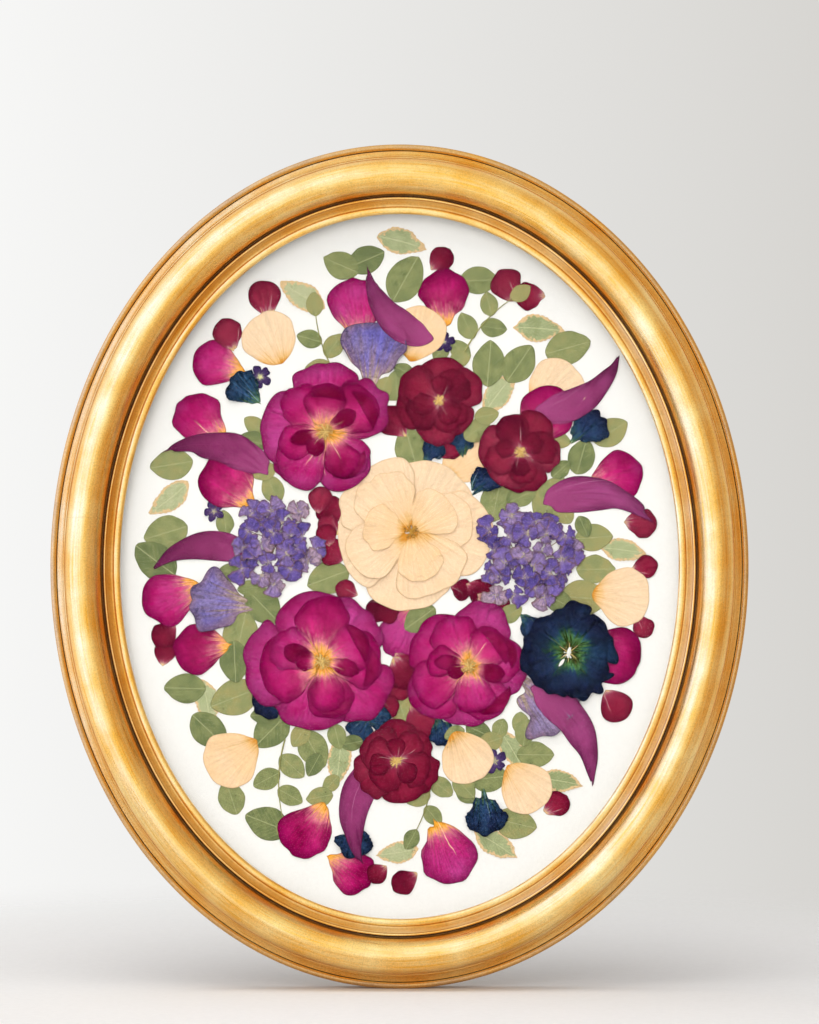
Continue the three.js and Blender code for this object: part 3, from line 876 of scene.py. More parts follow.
@dataclass
class Batch:
    """Arrays of points and faces, in millimetres, that become one object."""

    points: list[np.ndarray] = field(default_factory=list)
    faces: list[np.ndarray] = field(default_factory=list)
    uvs: list[np.ndarray] = field(default_factory=list)
    values: dict[str, list[np.ndarray]] = field(default_factory=dict)
    slots: list[np.ndarray] = field(default_factory=list)
    count: int = 0

    def add(self, points: np.ndarray, faces: list[tuple[np.ndarray, int]], uv: np.ndarray | None = None,
            **values: np.ndarray) -> None:
        """Adds one closed body.

        Args:
            points: n by 3, where the last number is the height over the board.
            faces: arrays of triangles or quads, numbered from 0, each with its material slot.
            uv: n by 2, or none for a body without a UV map.
            values: attributes, n long, or n by 3 for vectors.
        """
        self.points.append(points)
        if uv is not None:
            self.uvs.append(uv)
        for name, value in values.items():
            self.values.setdefault(name, []).append(value)
        for group, slot in faces:
            self.faces.append(group + self.count)
            self.slots.append(np.full(len(group), slot))
        self.count += len(points)

    def add_sheet(self, sheet: Sheet, under: np.ndarray, top: np.ndarray, slot: int = 0) -> None:
        """Adds a laid sheet as a thin closed shell with one point at each middle.

        Args:
            sheet: the placed sheet.
            under: the heights of its underside.
            top: the heights of its top.
            slot: the number of its material slot.
        """
        rings, turns = sheet.relief.shape
        ids = 1 + np.arange((rings - 1) * turns).reshape(rings - 1, turns)
        after = np.roll(ids, -1, axis=1)
        fan = np.stack([np.zeros(turns, int), ids[0], after[0]], axis=-1)
        quads = np.stack([ids[:-1], ids[1:], after[1:], after[:-1]], axis=-1).reshape(-1, 4)
        size = 1 + (rings - 1) * turns
        wall = np.stack([ids[-1], ids[-1] + size, after[-1] + size, after[-1]], axis=-1)

        def flatten(grid: np.ndarray) -> np.ndarray:
            """One value for the middle, then ring by ring."""
            return np.concatenate([grid[0, :1], grid[1:].reshape(-1, *grid.shape[2:])])

        plan = flatten(sheet.plan)
        upper = np.column_stack([plan, flatten(top)])
        lower = np.column_stack([plan, flatten(under)])
        uv = flatten(sheet.uv)
        rim = flatten(sheet.rim)
        faces = [(group, slot) for group in (fan, quads, fan[:, ::-1] + size, quads[:, ::-1] + size, wall)]
        self.add(np.vstack([upper, lower]), faces, np.vstack([uv, uv]), seed=np.full(2 * size, sheet.seed),
                 tone=np.full(2 * size, sheet.tone), rim=np.concatenate([rim, rim]))

    def add_tube(self, path: np.ndarray, radii: np.ndarray, sides: int, slot: int, seed: float) -> None:
        """Adds a round stem along a path, closed by a point at each end.

        Args:
            path: points along its middle.
            radii: its radius at each point.
            sides: how many sides it has.
            slot: the number of its material slot.
            seed: the number that varies its colour.
        """
        ahead = np.gradient(path, axis=0)
        ahead /= np.linalg.norm(ahead, axis=1, keepdims=True) + 1e-12
        up = np.array([0.0, 0.0, 1.0])
        aside = np.cross(ahead, up)
        aside /= np.linalg.norm(aside, axis=1, keepdims=True) + 1e-12
        over = np.cross(aside, ahead)
        turn = np.linspace(0, 2 * math.pi, sides, endpoint=False)[None, :, None]
        rings = path[:, None] + radii[:, None, None] * (
            np.cos(turn) * aside[:, None] + np.sin(turn) * over[:, None])
        steps = len(path)
        ids = np.arange(steps * sides).reshape(steps, sides)
        after = np.roll(ids, -1, axis=1)
        quads = np.stack([ids[:-1], ids[1:], after[1:], after[:-1]], axis=-1).reshape(-1, 4)
        first, last = steps * sides, steps * sides + 1
        start = np.stack([np.full(sides, first), ids[0], after[0]], axis=-1)
        end = np.stack([np.full(sides, last), after[-1], ids[-1]], axis=-1)
        points = np.vstack([rings.reshape(-1, 3), path[:1], path[-1:]])
        faces = [(group[:, ::-1], slot) for group in (quads, start, end)]
        value = np.full(len(points), seed)
        self.add(points, faces, np.zeros((len(points), 2)), seed=value, tone=value, rim=0 * value)

    def write(self, name: str, materials: list[bpy.types.Material], board_y: float,
              sharp: float | None = None) -> bpy.types.Object:
        """Writes the batch as one object whose place is in its mesh.

        Heights run towards -Y from the board, so the order of X and Z keeps
        faces that are anticlockwise in X and height turned outwards.

        Args:
            name: the object's name.
            materials: one for each slot.
            board_y: where height 0 lies along Y, in metres.
            sharp: angle in degrees past which an edge is sharp, or none.

        Returns:
            The object, linked to the scene.
        """
        points = np.vstack(self.points)
        placed = np.column_stack([points[:, 0] * MM, board_y - points[:, 2] * MM, points[:, 1] * MM])
        totals = np.concatenate([np.full(len(f), f.shape[1]) for f in self.faces])
        corners = np.concatenate([f.reshape(-1) for f in self.faces])
        mesh = bpy.data.meshes.new(name)
        mesh.vertices.add(len(placed))
        mesh.vertices.foreach_set("co", placed.reshape(-1))
        mesh.loops.add(len(corners))
        mesh.loops.foreach_set("vertex_index", corners)
        mesh.polygons.add(len(totals))
        mesh.polygons.foreach_set("loop_start", np.concatenate([[0], np.cumsum(totals)[:-1]]))
        mesh.polygons.foreach_set("material_index", np.concatenate(self.slots))
        mesh.update(calc_edges=True)
        if self.uvs:
            layer = mesh.uv_layers.new(name="petal")
            layer.uv.foreach_set("vector", np.vstack(self.uvs)[corners].reshape(-1))
        for key, value in self.values.items():
            joined = np.concatenate(value).astype(np.float32)
            vector = joined.ndim == 2
            stored = mesh.attributes.new(key, "FLOAT_VECTOR" if vector else "FLOAT", "POINT")
            stored.data.foreach_set("vector" if vector else "value", joined.reshape(-1))
        mesh.polygons.foreach_set("use_smooth", np.ones(len(totals), bool))
        if sharp is not None:
            mesh.set_sharp_from_angle(angle=math.radians(sharp))
        for material in materials:
            mesh.materials.append(material)
        mesh.validate()
        piece = bpy.data.objects.new(name, mesh)
        bpy.context.scene.collection.objects.link(piece)
        return piece


# ---- Kinds of specimen ------------------------------------------------------------


MAGENTA_PETAL = Blade(width=0.84, p=1.45, q=0.62, ruffle=0.035, heart=0.05, curl=0.5, ripple=0.2)
CREAM_PETAL = Blade(width=0.98, p=1.3, q=0.5, ruffle=0.02, heart=0.04, curl=0.2, ripple=0.12)
DELPHINIUM_PETAL = Blade(width=1.0, p=1.8, q=0.6, ruffle=0.13, heart=0.1, curl=0.4, ripple=1.1, turns=80)
CALLA_PIECE = Blade(width=0.30, p=0.62, q=0.95, bend=72, ruffle=0.03, curl=0.6, ripple=0.1, rings=10,
                    turns=60)
NAVY_RUFFLE = Blade(width=0.9, p=1.7, q=0.6, ruffle=0.08, teeth=0.16, heart=0.12, curl=0.4, ripple=0.8,
                    turns=80)
BURGUNDY_PETAL = Blade(width=0.92, p=1.3, q=0.62, ruffle=0.03, curl=0.3, ripple=0.12, rings=7, turns=36)
ROUND_LEAF_SHAPE = Blade(width=0.72, p=0.9, q=0.66, ruffle=0.012, curl=0.12, ripple=0.05, rings=7, turns=36)
POINTED_LEAF_SHAPE = Blade(width=0.50, p=0.85, q=0.85, bend=10, ruffle=0.03, teeth=0.22, curl=0.15,
                           ripple=0.12, rings=8, turns=96)


class Kind(Enum):
    """The loose pieces, by the letter that stands for each in a ring."""

    MAGENTA = "M"
    CREAM = "C"
    DELPHINIUM = "D"
    CALLA = "K"
    NAVY = "N"
    SPRIG = "S"


@dataclass(frozen=True)
class LooseKind:
    """What a loose piece is called, how long it is and what it looks like."""

    node: str
    length: float
    shape: Blade | None
    finish: PetalFinish | LeafFinish
    slot: str


LOOSE_KINDS = {
    Kind.MAGENTA: LooseKind("petal_magenta", 45, MAGENTA_PETAL, MAGENTA, "magenta_petal"),
    Kind.CREAM: LooseKind("petal_cream", 39, CREAM_PETAL, CREAM, "cream_petal"),
    Kind.DELPHINIUM: LooseKind("petal_delphinium", 44, DELPHINIUM_PETAL, DELPHINIUM, "delphinium_petal"),
    Kind.CALLA: LooseKind("calla", 78, CALLA_PIECE, CALLA, "calla_petal"),
    Kind.NAVY: LooseKind("ruffle_navy", 30, NAVY_RUFFLE, NAVY, "navy_petal"),
    Kind.SPRIG: LooseKind("sprig", 52, None, ROUND_LEAF, "pressed_leaf"),
}
SPRIG_BEND = 30.0
SPRIG_LEAVES = 4


@dataclass(frozen=True)
class Ring:
    """One oval ring of loose pieces, clockwise from the top; a dot leaves a place free."""

    reach: float
    first: float
    places: str


FIELD_X, FIELD_Z = 178.0, 227.0
RINGS = (
    Ring(0.85, 0, ". M S . C N M . C M . . C N M . N M s C . M M . . M N C . M"),
    Ring(0.68, 6, "C . . M . . . . D . C S . . . N . D . M . . S D"),
)
# Callas lie over the other loose pieces, with their points outward: x, z, turn and side.
CALLAS = (
    (-126, 84, -78, -1),
    (-8, 176, -42, 1),
    (130, 118, 56, -1),
    (140, 50, 98, 1),
    (124, -112, 148, 1),
    (-32, -170, 188, -1),
    (-140, 14, -98, -1),
)


@dataclass(frozen=True)
class Place:
    """A loose piece's node, kind, size, place and turn."""

    node: str
    kind: Kind
    length: float
    side: int
    x: float
    z: float
    clockwise: float


def loose_places() -> list[Place]:
    """Works out where every loose piece lies: sprigs first, then petals, then callas.

    Returns:
        The places, in the order that the pieces are laid in.
    """
    found: list[Place] = []
    counts: dict[Kind, int] = {}
    for ring in RINGS:
        letters = ring.places.split(" ")
        for i, letter in enumerate(letters):
            if letter == ".":
                continue
            kind = Kind(letter.upper())
            counts[kind] = counts.get(kind, 0) + 1
            loose = LOOSE_KINDS[kind]
            clock = math.radians(ring.first + 360 * i / len(letters))
            reach = ring.reach + 0.045 * math.sin(2.3 * i + 1)
            x = FIELD_X * reach * math.sin(clock)
            z = FIELD_Z * reach * math.cos(clock)
            side = 1 if letter == kind.value else -1
            bend = SPRIG_BEND if kind is Kind.SPRIG else loose.shape.bend
            turn = math.degrees(math.atan2(x, z)) + 16 * math.sin(3 * i + 1) + side * bend * 0.4
            found.append(Place(f"{loose.node}_{counts[kind]}", kind,
                               loose.length * (1 + 0.08 * math.sin(5 * i)), side, x, z, turn))
    found.sort(key=lambda place: place.kind is not Kind.SPRIG)
    calla = LOOSE_KINDS[Kind.CALLA]
    for i, (x, z, turn, side) in enumerate(CALLAS):
        length = calla.length * (1 + 0.08 * math.sin(5 * i))
        found.append(Place(f"{calla.node}_{i + 1}", Kind.CALLA, length, side, x, z, turn))
    return found


class BloomKind(Enum):
    """The open blooms, each a natural piece of its own."""

    MAGENTA_ROSE = "magenta rose"
    BURGUNDY_ROSE = "burgundy rose"
    CREAM_ROSE = "cream rose"
    HYDRANGEA = "hydrangea"
    LISIANTHUS = "lisianthus"


@dataclass(frozen=True)
class Whorl:
    """A ring of petals: how many, how long and wide against the bloom, how turned, how dark."""

    count: int
    reach: float
    width: float
    offset: float
    tone: tuple[float, float]
    folds: int = 0


@dataclass(frozen=True)
class Rose:
    """A kind of open rose: its whorls from the outermost in, its finishes and its stamens."""

    whorls: tuple[Whorl, ...]
    finish: PetalFinish
    stamens: StamenFinish
    slot: str
    tuft_mm: float
    filaments: int


ROSES = {
    BloomKind.MAGENTA_ROSE: Rose(
        (Whorl(5, 1.00, 1.04, 0, (0.05, 0.50)), Whorl(4, 0.86, 0.98, 38, (0.20, 0.65), folds=2),
         Whorl(3, 0.70, 0.86, 15, (0.35, 0.85), folds=1), Whorl(2, 0.50, 0.54, 62, (0.85, 1.00)),
         Whorl(1, 0.36, 0.80, 215, (0.90, 1.00))),
        MAGENTA, POLLEN, "magenta_petal", 5.8, 110),
    BloomKind.BURGUNDY_ROSE: Rose(
        (Whorl(6, 1.00, 1.02, 0, (0.10, 0.60)), Whorl(4, 0.84, 1.00, 33, (0.35, 0.90)),
         Whorl(3, 0.60, 0.92, 10, (0.70, 1.00))),
        BURGUNDY, POLLEN_PALE, "burgundy_petal", 4.2, 60),
    BloomKind.CREAM_ROSE: Rose(
        (Whorl(5, 1.00, 1.14, 0, (0.00, 0.30)), Whorl(4, 0.84, 1.12, 40, (0.30, 0.60)),
         Whorl(3, 0.60, 1.00, 15, (0.50, 0.90))),
        CREAM, POLLEN_BROWN, "cream_petal", 5.4, 60),
}


@dataclass(frozen=True)
class Bloom:
    """An open bloom: its node, kind, place, radius and turn."""

    node: str
    kind: BloomKind
    x: float
    z: float
    radius: float
    turn: float


BLOOMS = (
    Bloom("rose_burgundy_1", BloomKind.BURGUNDY_ROSE, 28, 116, 32, 10),
    Bloom("rose_burgundy_2", BloomKind.BURGUNDY_ROSE, 84, 80, 31, 40),
    Bloom("rose_burgundy_3", BloomKind.BURGUNDY_ROSE, -2, -136, 31, 0),
    Bloom("rose_cream", BloomKind.CREAM_ROSE, 8, 24, 57, 25),
    Bloom("hydrangea_left", BloomKind.HYDRANGEA, -86, 16, 37, 0),
    Bloom("hydrangea_right", BloomKind.HYDRANGEA, 90, 6, 41, 20),
    Bloom("rose_magenta_1", BloomKind.MAGENTA_ROSE, -52, 94, 50, 0),
    Bloom("rose_magenta_2", BloomKind.MAGENTA_ROSE, 48, -70, 47, 30),
    Bloom("rose_magenta_3", BloomKind.MAGENTA_ROSE, -54, -66, 54, 50),
    Bloom("lisianthus_navy", BloomKind.LISIANTHUS, 118, -60, 33, 0),
)


# A hydrangea head of this radius has this many florets, and others in proportion to their area.
HEAD_FLORETS, HEAD_RADIUS = 23, 38
FLORET_MARGIN = 8.0
GOLDEN_ANGLE = 137.508

# How much of its length or radius each piece keeps free of small pieces.
BLOOM_SHARE, CALLA_SHARE, PETAL_SHARE, FILLER_SHARE = 0.98, 0.30, 0.48, 0.42
GLASS_AIR = 0.25


# ---- The pressed collection -----------------------------------------------------------

Finish = PetalFinish | LeafFinish | GiltFinish | FibreFinish | StamenFinish


@dataclass
class Collection:
    """Lays every specimen on the mount board and writes it as an object."""

    bed: Bed
    board_y: float
    petal_mm: float = 0.10
    leaf_mm: float = 0.14
    materials: dict[str, bpy.types.Material] = field(default_factory=dict)

    def material(self, finish: Finish) -> bpy.types.Material:
        """The material of a finish, made once.

        Args:
            finish: the finish.

        Returns:
            Its material.
        """
        if finish.name not in self.materials:
            self.materials[finish.name] = finish.material()
        return self.materials[finish.name]

    def write(self, batch: Batch, name: str, finishes: list[Finish], slot: str, *nodes: str) -> None:
        """Writes a piece, rides it on the frame and hides the solids that it stands for.

        Args:
            batch: the piece's arrays.
            name: the piece's name.
            finishes: one for each slot of the batch.
            slot: the material slot that it counts as; not used.
            nodes: the solids that it stands for, if any.
        """
        piece = batch.write(name, [self.material(each) for each in finishes], self.board_y)
        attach(piece, "root")
        if nodes:
            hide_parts(*nodes)
        log.info("%s: %d faces", name, len(piece.data.polygons))

    def lay(self, batch: Batch, sheet: Sheet, thickness: float, slot: int = 0) -> None:
        """Lays one sheet and adds it to a batch."""
        under, top = self.bed.lay(sheet, thickness)
        batch.add_sheet(sheet, under, top, slot)

    # -- Loose pieces --

    def sprig(self, place: Place, rng: np.random.Generator) -> None:
        """A curved stem with leaves on both sides and one at its tip.

        Args:
            place: the piece's kind, size and place.
            rng: the source of the unevenness.
        """
        batch = Batch()
        length = place.length
        bend = math.radians(place.side * SPRIG_BEND)
        turn = math.radians(place.clockwise)

        def on_stem(u: np.ndarray | float) -> tuple:
            """A point of the stem, in the collection's plan, and its heading in degrees.

            Args:
                u: how far along the stem, from 0 to 1.

            Returns:
                Its X, its Z and its heading.
            """
            swing = bend * (u - 0.5)
            x = length / bend * (1 - np.cos(swing))
            z = length / bend * np.sin(swing)
            return (x * math.cos(turn) + z * math.sin(turn) + place.x,
                    z * math.cos(turn) - x * math.sin(turn) + place.z,
                    place.clockwise + np.degrees(swing))

        for i in range(SPRIG_LEAVES):
            last = i == SPRIG_LEAVES - 1
            u = 1.0 if last else 0.22 + 0.62 * i / (SPRIG_LEAVES - 1)
            x, z, heading = on_stem(u)
            spread = 0 if last else 58 * (-1 if i % 2 == 0 else 1)
            leaf = blade_sheet(ROUND_LEAF_SHAPE, length * 0.4 * (1 - 0.06 * i), rng, foot=-0.7)
            self.lay(batch, leaf.moved(x, z, heading + spread), self.leaf_mm)
        u = np.linspace(0, 1, 24)
        x, z, _ = on_stem(u)
        self.stem(batch, x, z, thick=0.55, thin=0.3, slot=1)
        self.write(batch, f"{place.node}_pressed", [ROUND_LEAF, STEM], "pressed_leaf", place.node)

    def stem(self, batch: Batch, x: np.ndarray, z: np.ndarray, thick: float, thin: float,
             slot: int) -> None:
        """Lays a tapering round stem along a line over what is there.

        Args:
            batch: the piece's arrays, which it adds to.
            x: the line along X.
            z: the line along Z.
            thick: the radius where it starts, in millimetres.
            thin: the radius at its end.
            slot: the number of its material slot.
        """
        plan = np.column_stack([x, z])
        i, j = self.bed.index(plan)
        ground = self.bed.height[i, j]
        smooth = np.convolve(np.pad(ground, 2, mode="edge"), np.ones(5) / 5, mode="valid")
        radii = np.linspace(thick, thin, len(x))
        height = np.minimum(np.maximum(ground, smooth) + radii, self.bed.ceiling - radii)
        batch.add_tube(np.column_stack([plan, height]), radii, 8, slot, 0.5)
        np.maximum.at(self.bed.height, (i, j), height + radii)

    def loose(self, place: Place, rng: np.random.Generator) -> None:
        """A single loose petal or calla piece.

        Args:
            place: the piece's kind, size and place.
            rng: the source of the unevenness.
        """
        kind = LOOSE_KINDS[place.kind]
        shape = replace(kind.shape, bend=place.side * kind.shape.bend)
        batch = Batch()
        sheet = blade_sheet(shape, place.length, rng)
        sheet.tone = rng.uniform(0.1, 0.85)
        self.lay(batch, sheet.moved(place.x, place.z, place.clockwise), self.petal_mm)
        self.write(batch, f"{place.node}_pressed", [kind.finish], kind.slot, place.node)

    # -- Blooms --

    def rose(self, bloom: Bloom, rng: np.random.Generator) -> None:
        """An open rose: whorls of round petals, each over the last, and stamens.

        Args:
            bloom: the bloom.
            rng: the source of the unevenness.
        """
        batch = Batch()
        kind = ROSES[bloom.kind]
        radius = bloom.radius
        for whorl in kind.whorls:
            turns = int(30 + 40 * whorl.reach * radius / 50)
            for i in range(whorl.count):
                shape = Blade(width=whorl.width * rng.uniform(0.84, 1.12), p=rng.uniform(1.35, 1.75), q=0.55,
                              ruffle=0.04, heart=rng.uniform(0, 0.10), curl=0.5, ripple=0.25, rings=12,
                              turns=turns)
                length = radius * whorl.reach * rng.uniform(0.86, 1.0)
                turn = bloom.turn + whorl.offset + 360 * i / whorl.count + rng.uniform(-15, 15)
                sheet = blade_sheet(shape, length, rng, foot=rng.uniform(0.0, 0.05) * radius)
                sheet.tone = rng.uniform(*whorl.tone)
                self.lay(batch, sheet.moved(bloom.x, bloom.z, turn), self.petal_mm)
                if i < whorl.folds:
                    self.fold(batch, bloom, 0.86 * length, turn + rng.uniform(-12, 12), rng)
        self.tuft(batch, bloom, kind, rng)
        self.write(batch, f"{bloom.node}_pressed", [kind.finish, kind.stamens], kind.slot, bloom.node)

    def fold(self, batch: Batch, bloom: Bloom, out: float, turn: float, rng: np.random.Generator) -> None:
        """A crescent of petal turned over at the rim, set to a dark tone as painted shade for the fold.

        Args:
            batch: the piece's arrays, which it adds to.
            bloom: the bloom.
            out: how far it lies from the bloom's middle.
            turn: which way it lies, in degrees.
            rng: the source of the unevenness.
        """
        shape = Blade(width=0.30, p=1.0, q=0.75, bend=78, ruffle=0.03, curl=0.3, ripple=0.1, rings=8,
                      turns=48)
        sheet = blade_sheet(shape, bloom.radius * rng.uniform(0.5, 0.66), rng)
        # The dark tone is painted shade for the turned-over fold.
        sheet.tone = rng.uniform(0.8, 1.0)
        sheet.uv[..., 1] = 0.5 + 0.3 * sheet.uv[..., 1]
        swing = math.radians(turn)
        x, z = bloom.x + out * math.sin(swing), bloom.z + out * math.cos(swing)
        self.lay(batch, sheet.moved(x, z, turn + 90), self.petal_mm)

    def tuft(self, batch: Batch, bloom: Bloom, kind: Rose, rng: np.random.Generator) -> None:
        """A tuft of thin filaments, each with a small anther at its end.

        Args:
            batch: the piece's arrays, which it adds to.
            bloom: the bloom.
            kind: the kind of rose.
            rng: the source of the unevenness.
        """
        i, j = self.bed.index(np.array([bloom.x, bloom.z]))
        near = int(kind.tuft_mm / self.bed.cell)
        ground = float(self.bed.height[i - near:i + near, j - near:j + near].max())
        for turn in rng.uniform(0, 2 * math.pi, kind.filaments):
            far = kind.tuft_mm * rng.uniform(0.15, 1.0)
            lift = min(ground + 0.1 + rng.uniform(0, 0.4), self.bed.ceiling - 0.6)
            u = np.linspace(0.02, 1, 5)
            swing = turn + rng.uniform(-0.6, 0.6) * u
            path = np.column_stack([bloom.x + far * u * np.sin(swing), bloom.z + far * u * np.cos(swing),
                                    lift + 0.2 * np.sin(math.pi * u)])
            seed = rng.uniform()
            batch.add_tube(path, np.full(5, 0.16), 4, 1, seed)
            ahead = (path[-1] - path[-2]) / np.linalg.norm(path[-1] - path[-2])
            along = np.array([-0.6, -0.35, 0.0, 0.35, 0.6])[:, None]
            batch.add_tube(path[-1] + along * ahead, np.array([0.1, 0.36, 0.46, 0.36, 0.1]), 5, 1, seed * 0.6)

    def hydrangea(self, bloom: Bloom, rng: np.random.Generator) -> None:
        """A head of small ragged florets on a sunflower spiral, with stalks that show between.

        Args:
            bloom: the bloom.
            rng: the source of the unevenness.
        """
        batch = Batch()
        count = int(HEAD_FLORETS * (bloom.radius / HEAD_RADIUS) ** 2)
        shape = Blade(width=1.15, p=1.8, q=0.45, ruffle=0.12, curl=0.3, ripple=0.5, rings=6, turns=36)
        spots = []
        for k in range(count):
            reach = (bloom.radius - FLORET_MARGIN) * math.sqrt((k + 0.5) / count)
            swing = math.radians(GOLDEN_ANGLE * k + bloom.turn)
            spots.append((bloom.x + reach * math.sin(swing) + rng.normal(0, 2.0),
                          bloom.z + reach * math.cos(swing) + rng.normal(0, 2.0)))
        for x, z in spots[::2]:
            u = np.linspace(0.1, 1, 12)
            bow = rng.normal(0, 2) * np.sin(math.pi * u)
            self.stem(batch, bloom.x + (x - bloom.x) * u + bow, bloom.z + (z - bloom.z) * u + bow,
                      thick=0.4, thin=0.25, slot=1)
        for x, z in reversed(spots):
            turn = rng.uniform(0, 360)
            tone = float(np.clip(rng.normal(0.5, 0.28), 0, 1))
            for i in range(rng.integers(3, 5)):
                sheet = blade_sheet(shape, rng.uniform(6.5, 12.0), rng, foot=-0.4)
                sheet.tone = float(np.clip(tone + rng.normal(0, 0.12), 0, 1))
                self.lay(batch, sheet.moved(x, z, turn + 90 * i + rng.normal(0, 18)), self.petal_mm * 0.7)
        self.write(batch, f"{bloom.node}_pressed", [HYDRANGEA, STALK], "hydrangea_floret", bloom.node)

    def lisianthus(self, bloom: Bloom, rng: np.random.Generator) -> None:
        """A double bloom of ruffled petals about a pale slit and a star of yellow lines.

        Args:
            bloom: the bloom.
            rng: the source of the unevenness.
        """
        batch = Batch()
        shape = Blade(width=1.1, p=1.7, q=0.55, ruffle=0.14, teeth=0.10, curl=0.4, ripple=1.4, rings=14,
                      turns=96)
        for count, reach, offset in ((5, 1.0, 0.0), (5, 0.88, 36.0)):
            for i in range(count):
                sheet = blade_sheet(shape, bloom.radius * reach * rng.uniform(0.95, 1.0), rng,
                                    foot=0.04 * bloom.radius)
                turn = bloom.turn + offset + 360 * i / count + rng.uniform(-5, 5)
                self.lay(batch, sheet.moved(bloom.x, bloom.z, turn), self.petal_mm)
        for i in range(6):
            swing = math.radians(bloom.turn + 60 * i + rng.uniform(-8, 8))
            out = np.linspace(1.5, rng.uniform(6, 8), 8)
            self.stem(batch, bloom.x + out * math.sin(swing), bloom.z + out * math.cos(swing),
                      thick=0.3, thin=0.12, slot=1)
        slit = Blade(width=0.34, p=1.0, q=0.6, curl=0.05, ripple=0.02, rings=4, turns=24)
        for length, x, z, turn in ((8.0, 0, 0, bloom.turn + 10), (6.5, -5, -7, 38)):
            sheet = blade_sheet(slit, length, rng).moved(bloom.x + x, bloom.z + z, turn)
            self.lay(batch, sheet, self.petal_mm, slot=2)
        self.write(batch, f"{bloom.node}_pressed", [THROAT, POLLEN_PALE, PAPER], "navy_petal", bloom.node)

    def bloom(self, bloom: Bloom, rng: np.random.Generator) -> None:
        """Lays one bloom by its kind."""
        makers = {BloomKind.HYDRANGEA: self.hydrangea, BloomKind.LISIANTHUS: self.lisianthus}
        makers.get(bloom.kind, self.rose)(bloom, rng)


# ---- Small pieces that fill the gaps ----------------------------------------------------


@dataclass(frozen=True)
class Filler:
    """A kind of small piece, how many there are and how long they are."""

    name: str
    count: int
    shortest: float
    longest: float
    shape: Blade | None
    finish: PetalFinish | LeafFinish
    slot: str


FILLERS = (
    Filler("leaves_variegated", 12, 30, 37, POINTED_LEAF_SHAPE, VARIEGATED_LEAF, "pressed_leaf"),
    Filler("petals_magenta_small", 3, 36, 42, MAGENTA_PETAL, MAGENTA, "magenta_petal"),
    Filler("petal_cream_small", 1, 34, 36, CREAM_PETAL, CREAM, "cream_petal"),
    Filler("leaves_round_large", 34, 25, 36, ROUND_LEAF_SHAPE, ROUND_LEAF, "pressed_leaf"),
    Filler("petals_burgundy", 32, 16, 26, BURGUNDY_PETAL, BURGUNDY, "burgundy_petal"),
    Filler("pieces_navy", 7, 17, 24, NAVY_RUFFLE, NAVY, "navy_petal"),
    Filler("leaves_round_small", 40, 15, 22, ROUND_LEAF_SHAPE, ROUND_LEAF, "pressed_leaf"),
    Filler("florets_dark", 4, 7, 9, None, DARK_FLORET, "hydrangea_floret"),
)


@dataclass
class GapMap:
    """Finds the widest free places of the flower field on a coarse grid."""

    cell: float = 4.0
    taken: np.ndarray = field(init=False)
    x: np.ndarray = field(init=False)
    z: np.ndarray = field(init=False)

    def __post_init__(self) -> None:
        """Starts with everything outside the field taken."""
        xs = np.arange(-FIELD_X, FIELD_X + 1, self.cell)
        zs = np.arange(-FIELD_Z, FIELD_Z + 1, self.cell)
        self.x, self.z = np.meshgrid(xs, zs, indexing="ij")
        self.taken = (self.x / FIELD_X) ** 2 + (self.z / FIELD_Z) ** 2 > 1.0

    def take(self, x: float, z: float, radius: float) -> None:
        """Marks a disc as taken."""
        self.taken |= (self.x - x) ** 2 + (self.z - z) ** 2 < radius ** 2

    def widest(self, rng: np.random.Generator) -> tuple[float, float]:
        """The middle of the widest gap, with a little chance, and rather near the oval's middle.

        Args:
            rng: the source of the unevenness.

        Returns:
            Its X and Z.
        """
        room = np.where(self.taken, 0.0, 99.0)
        for _ in range(12):
            room = np.minimum(room, neighbours(room).min(axis=0) + 1)
        nearer = 1.2 * (1 - (self.x / FIELD_X) ** 2 - (self.z / FIELD_Z) ** 2)
        room = np.where(self.taken, 0.0, room + nearer + rng.uniform(0, 0.9, room.shape))
        i, j = np.unravel_index(np.argmax(room), room.shape)
        return float(self.x[i, j]), float(self.z[i, j])


def lay_fillers(collection: Collection, gaps: GapMap, rng: np.random.Generator) -> None:
    """Fills the widest gaps with small leaves and petals, the long ones first.

    Args:
        collection: what they are laid on and added to.
        gaps: the map of the free places.
        rng: the source of the unevenness.
    """
    for filler in FILLERS:
        batch = Batch()
        for _ in range(filler.count):
            x, z = gaps.widest(rng)
            length = rng.uniform(filler.shortest, filler.longest)
            gaps.take(x, z, length * FILLER_SHARE)
            if filler.shape is None:
                sheet = floret_sheet(length, 5, 0.45, rng)
            else:
                sheet = blade_sheet(filler.shape, length, rng)
            sheet.tone = rng.uniform(0.1, 0.9)
            turn = math.degrees(math.atan2(x, z)) + rng.normal(0, 50)
            x += rng.normal(0, 1.5)
            z += rng.normal(0, 1.5)
            collection.lay(batch, sheet.moved(x, z, turn), collection.leaf_mm)
        collection.write(batch, filler.name, [filler.finish], filler.slot)


# ---- The moulding ------------------------------------------------------------------------


